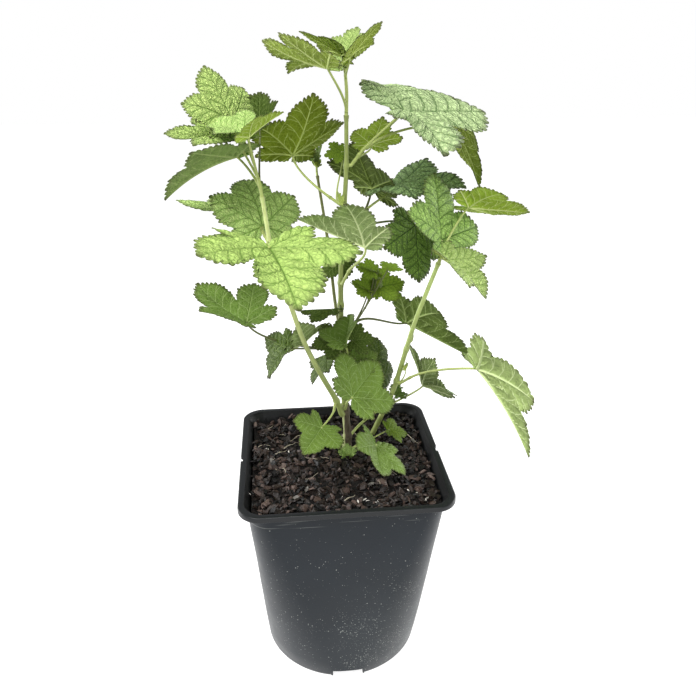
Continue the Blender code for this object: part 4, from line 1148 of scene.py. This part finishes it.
# vein pattern from the blade's own coordinates: u along a lobe's vein, v across it
def veinGroup():
    look, lines = leafLook, veinLook
    labels = ('Main', 'Side', 'Net', 'Valley', 'Puff', 'Rib')
    group, given, out = newGroup('leafVeins', {'Vector': 'NodeSocketVector'}, labels)
    own = given['Vector']

    def vectors(operation, inputs):
        return addNode(group, 'ShaderNodeVectorMath', inputs, operation=operation).outputs[0]

    def cellEdges(scale):
        inputs = {'Vector': moved, 'Scale': scale, 'Randomness': lines['netRandom']}
        cells = addNode(group, 'ShaderNodeTexVoronoi', inputs, feature='DISTANCE_TO_EDGE')
        return cells.outputs['Distance']

    # a vein's width at its start, and how it changes along or across the blade
    def widthOf(place, atStart, change):
        return mathNode(group, 'MULTIPLY_ADD', place, change, atStart)

    stray = addNode(group, 'ShaderNodeTexNoise', {'Vector': own, 'Scale': lines['wiggleScale'],
                                                  'Detail': lines['wiggleDetail']})
    shift = vectors('SUBTRACT', {0: stray.outputs['Color'], 1: (0.5, 0.5, 0.5)})
    moved = vectors('ADD', {0: own, 1: vectors('SCALE', {0: shift, 'Scale': lines['wiggle']})})
    straight = addNode(group, 'ShaderNodeSeparateXYZ', {'Vector': own}).outputs
    split = addNode(group, 'ShaderNodeSeparateXYZ', {'Vector': moved}).outputs
    middle, across = mathNode(group, 'ABSOLUTE', straight['Y']), mathNode(group, 'ABSOLUTE', split['Y'])
    start = mathNode(group, 'MULTIPLY_ADD', across, -look['sideLean'], split['X'])
    start = mathNode(group, 'MULTIPLY_ADD', times(group, across, across), look['sideArch'], start)
    half = times(group, mathNode(group, 'GREATER_THAN', straight['Y'], 0.0), 0.5)
    phase = mathNode(group, 'ADD', mathNode(group, 'DIVIDE', start, look['sideVein']), half)
    forkEnd = look['forkAt'] + 0.5 / look['forkRate']
    apart = ramp(group, across, look['forkAt'], forkEnd, 0.0, 0.5, smooth=False)
    forked = mathNode(group, 'PINGPONG', mathNode(group, 'ADD', phase, apart), 0.5)
    gap = mathNode(group, 'MINIMUM', mathNode(group, 'PINGPONG', phase, 0.5), forked)
    gap = times(group, gap, look['sideVein'] * look['sideNear'])
    mainWidth = widthOf(straight['X'], *lines['mainWidth'])
    main = ramp(group, middle, mainWidth, times(group, mainWidth, lines['mainCore']))
    rib = ramp(group, middle, *(times(group, mainWidth, share) for share in lines['ribEdges']))
    sideWidth = widthOf(across, *lines['sideWidth'])
    sideLine = ramp(group, gap, sideWidth, times(group, sideWidth, lines['sideCore']))
    cells, small = cellEdges(lines['net']), cellEdges(lines['fineNet'])
    fineNet = times(group, ramp(group, small, *lines['fineLine']), lines['fineShare'])
    net = mathNode(group, 'MAXIMUM', ramp(group, cells, *lines['netLine']), fineNet)
    valley = mathNode(group, 'MAXIMUM', ramp(group, middle, lines['mainValley'], 0.0),
                      ramp(group, gap, lines['sideValley'], 0.0))
    puff, finePuff = ramp(group, cells, 0.0, lines['puff']), ramp(group, small, 0.0, lines['finePuff'])
    puff = mathNode(group, 'MULTIPLY_ADD', finePuff, lines['finePuffShare'], puff)
    puff = times(group, puff, mathNode(group, 'SUBTRACT', 1.0, valley))
    for label, socket in zip(labels, (main, sideLine, net, valley, puff, rib)):
        group.links.new(socket, out[label])
    return group


veins = veinGroup()


# one side of a leaf in one tone; quilted with sunken veins above, smoother with raised paler veins beneath
def leafMaterial(name, tone, veinTone, above, quilted):
    look, lines = leafLook, veinLook
    roughness = look['roughness'] if above else look['underRoughness']
    material, tree, bsdf = newMaterial(name, roughness, look['gloss'])
    own = addNode(tree, 'ShaderNodeUVMap', uv_map='veins').outputs[0]
    pattern = addNode(tree, 'ShaderNodeGroup', {'Vector': own}, node_tree=veins).outputs
    # painted light and shade: above, the swollen fields take a lit copy of the tone and the vein grooves a
    # shaded copy; beneath, the fields take the shaded copy
    shade = tuple(c * look['shade'] for c in tone)
    lit = tuple(min(c * look['lit'], 1) for c in tone)
    colour = mixColour(tree, patchy(tree, objectPlace(tree), *look['patches']), tone, shade)
    fieldTones = {'Puff': lit if above else shade, 'Valley': shade}
    for label, (always, added) in lines['above' if above else 'beneath'].items():
        mask = times(tree, pattern[label], always + added * quilted)
        colour = mixColour(tree, mask, colour, fieldTones.get(label, veinTone))
    tooth, long = (addNode(tree, 'ShaderNodeAttribute', attribute_name=label).outputs['Fac']
                   for label in ('tooth', 'leafLong'))
    colour = mixColour(tree, times(tree, tooth, look['toothStain']), colour, look['toothTone'])
    if above:
        always, added = lines['bumpAbove']
        height, strength, deep = pattern['Puff'], always + added * quilted, look['bumpDeep']
    else:
        ribs = mathNode(tree, 'MULTIPLY_ADD', pattern['Side'], lines['sideRaised'], pattern['Main'])
        height = mathNode(tree, 'MULTIPLY_ADD', pattern['Net'], lines['netRaised'], ribs)
        strength, deep = lines['bumpBeneath'], look['bumpBeneath']
    finishSkin(tree, bsdf, colour, height, strength, times(tree, long, deep))
    return material


leafMaterials = {}


def toneMaterials(tone):
    if tone not in leafMaterials:
        look = leafTones[tone]
        leafMaterials[tone] = (
            leafMaterial(f'leaf_{tone}_upper', look['upper'], look['vein'], True, look['quilted']),
            leafMaterial(f'leaf_{tone}_under', look['under'], look['rib'], False, 0.0))
    return leafMaterials[tone]


# all blades of one mass as one piece
def buildBlades(name, spec, seed):
    points, faces, slots, uvs, marks, longs, materials = [], [], [], [], [], [], []
    toneSlots = {}
    for k, leaf in enumerate(spec['leaves'] + extras.get(name, [])):
        tone = leaf[13]
        if tone not in toneSlots:
            toneSlots[tone] = len(materials)
            materials.extend(toneMaterials(tone))
        cuts = deepCuts.get((name, k), leafLook['cuts'])
        leafPoints, leafFaces, leafUvs, leafSlots, leafMarks = leafArrays(leaf, seed + k, cuts)
        addShape(points, faces, leafPoints, leafFaces)
        slots.extend(toneSlots[tone] + i for i in leafSlots)
        uvs.append(leafUvs)
        marks.extend(leafMarks)
        longs.extend([leaf[6] * mm] * len(leafPoints))
    obj = meshFromArrays(name.replace('_leaves', '_blades'), points, faces, slots, materials)
    layer = obj.data.uv_layers.new(name='veins')
    layer.data.foreach_set('uv', np.concatenate(uvs).astype(np.float32).ravel())
    for label, values in (('tooth', marks), ('leafLong', longs)):
        layer = obj.data.attributes.new(label, 'FLOAT', 'POINT')
        layer.data.foreach_set('value', np.array(values, np.float32))
    finishPiece(obj, 'leaf_green', name)


# the run of a leaf stalk, from inside its stem into the blade's base
def stalkRun(start, way, leaf):
    look = stalkLook
    turn = turnMatrix(leaf[3], leaf[4], leaf[5])
    arrive = look['arrive'][0] * turn[:, 0] + look['arrive'][1] * turn[:, 2]
    end = np.array(leaf[:3]) * mm + arrive * look['sunk'] * mm
    gap = np.linalg.norm(end - start)
    a, b = start + way * look['leave'] * gap, end - arrive * look['enter'] * gap
    t = np.linspace(0, 1, max(look['leastSteps'], int(gap / mm / look['step'])))[:, None]
    return (1 - t) ** 3 * start + 3 * (1 - t) ** 2 * t * a + 3 * (1 - t) * t * t * b + t ** 3 * end


# stem and stalks of every mass, joined by tone
def buildStalks():
    look = stalkLook
    groups = {'pale': ([], []), 'thin': ([], [])}
    for name, spec in masses.items():
        run, tangent = limbRun(spec, shootLook['stemStep'])
        share, _ = shareAlong(run)
        kind = 'thin' if all(leafTones[leaf[13]]['stalk'] == 'thin' for leaf in spec['leaves']) else 'pale'
        radii = np.interp(share, (0, 1), [r * mm for r in spec['radii']]) * spec.get('slim', 1)
        tubes = [(kind, run, radii)]
        for leaf in spec['leaves'] + extras.get(name, []):
            at = min(leaf[12], look['last'])
            stalk = stalkRun(readAt(at, share, run), readAt(at, share, tangent), leaf)
            t = np.linspace(0, 1, len(stalk))
            # thicker in a long leaf, and flared where it leaves the stem and enters the blade
            thick = look['root'] + (look['tip'] - look['root']) * t
            thick = thick * min(1, look['least'] + leaf[6] / look['fullLong'])
            (low, lowWide), (high, highWide) = look['rootFlare'], look['bladeFlare']
            flare = low * np.exp(-(t / lowWide) ** 2) + high * np.exp(-((1 - t) / highWide) ** 2)
            thick = thick * (1 + flare)
            tubes.append((leafTones[leaf[13]]['stalk'], stalk, thick * mm))
        for kind, line, thick in tubes:
            addShape(*groups[kind], *tubeArrays(line, thick, look['sides']))
    for kind, (points, faces) in groups.items():
        dark = tuple(c * look['shade'] for c in look[kind])
        material = shootMaterial(f'stalk_{kind}', look[kind], dark, look['streak'])
        obj = meshFromArrays(f'{kind}_stalks', points, faces, [0] * len(faces), [material])
        finishPiece(obj, 'leaf_green')


# each limb's slot, its tone and its dark tone, how streaked and how rough it is
shootTones = {
    'trunk': ('woody_bark', 'bark', 'barkDark', 0.75, 0.75),
    'centre_shoot': ('green_bark', 'centre', 'barkDark', 0.3, 0.5),
    'left_shoot': ('green_bark', 'left', 'centre', 0.35, 0.45),
    'right_shoot': ('green_bark', 'right', 'centre', 0.35, 0.45),
    'rear_shoot': ('green_bark', 'rear', 'barkDark', 0.3, 0.5),
}
for shootName, (slotName, tone, dark, streak, rough) in shootTones.items():
    peel = shootLook['peel'] if shootName == 'trunk' else None
    darkerLow = shootLook['darkerLow'] if dark == 'centre' else 0.0
    skin = shootMaterial(shootName + 'Bark', shootLook[tone], shootLook[dark], streak, rough, peel, darkerLow)
    buildShoot(shootName, shoots[shootName], skin, slotName)
print('limbs done')
buildStalks()
for number, (massName, mass) in enumerate(masses.items()):
    buildBlades(massName, mass, 100 + 10 * number)
print('leaves done')


# camera, floor and light

view = dict(
    place=(-0.042, -0.487, 0.491), yaw=5.68, pitch=24.13, sensor=36.0, focal=700, frame=696, near=0.01,
)


def placeCamera():
    yaw, pitch = math.radians(view['yaw']), math.radians(view['pitch'])
    look = Vector((math.sin(yaw) * math.cos(pitch), math.cos(yaw) * math.cos(pitch), -math.sin(pitch)))
    data = bpy.data.cameras.new('camera')
    data.sensor_width = view['sensor']
    data.lens = view['sensor'] * view['focal'] / view['frame']
    data.clip_start = view['near']
    camera = bpy.data.objects.new('camera', data)
    camera.location = view['place']
    camera.rotation_euler = look.to_track_quat('-Z', 'Y').to_euler()
    bpy.context.collection.objects.link(camera)
    bpy.context.scene.camera = camera


light = dict(
    sky=0.44, seen=1.0, aim=(0, 0, 0.2),
    lamps=dict(
        key=dict(place=(-0.45, -0.65, 1.50), size=0.9, power=22),
        fill=dict(place=(0.35, -1.3, 0.55), size=0.9, power=6),
        leftEdge=dict(place=(-0.80, 0.36, 0.25), size=0.8, power=13),
        rightEdge=dict(place=(0.80, 0.36, 0.25), size=0.8, power=10),
    ),
    floorSize=8.0, floorTone=(0.42, 0.42, 0.42), floorShine=(0.9, 0.1), floorGlow=0.86,
)


def placeLights():
    for name, spec in light['lamps'].items():
        data = bpy.data.lights.new(name, 'AREA')
        data.energy = spec['power']
        data.size = spec['size']
        lamp = bpy.data.objects.new(name, data)
        lamp.location = spec['place']
        way = Vector(light['aim']) - Vector(spec['place'])
        lamp.rotation_euler = way.to_track_quat('-Z', 'Y').to_euler()
        bpy.context.collection.objects.link(lamp)
    world = bpy.data.worlds.new('studio')
    bpy.context.scene.world = world
    world.use_nodes = True
    tree = world.node_tree
    shader = tree.nodes['Background']
    seen = addNode(tree, 'ShaderNodeLightPath').outputs['Is Camera Ray']
    strength = ramp(tree, seen, 0.0, 1.0, light['sky'], light['seen'], smooth=False)
    plug(tree, shader.inputs['Strength'], strength)
    shader.inputs['Color'].default_value = (1, 1, 1, 1)


def buildFloor():
    bpy.ops.mesh.primitive_plane_add(size=light['floorSize'])
    floor = bpy.context.object
    floor.name = 'floor'
    material, tree, bsdf = newMaterial('paleFloor', *light['floorShine'])
    bsdf.inputs['Base Color'].default_value = (*light['floorTone'], 1)
    bsdf.inputs['Emission Color'].default_value = (1, 1, 1, 1)
    rays = addNode(tree, 'ShaderNodeLightPath').outputs
    bright = mathNode(tree, 'MAXIMUM', rays['Is Camera Ray'], rays['Is Glossy Ray'])
    plug(tree, bsdf.inputs['Emission Strength'], times(tree, bright, light['floorGlow']))
    floor.data.materials.append(material)


placeCamera()
placeLights()
buildFloor()
bpy.context.scene.view_settings.view_transform = 'Standard'
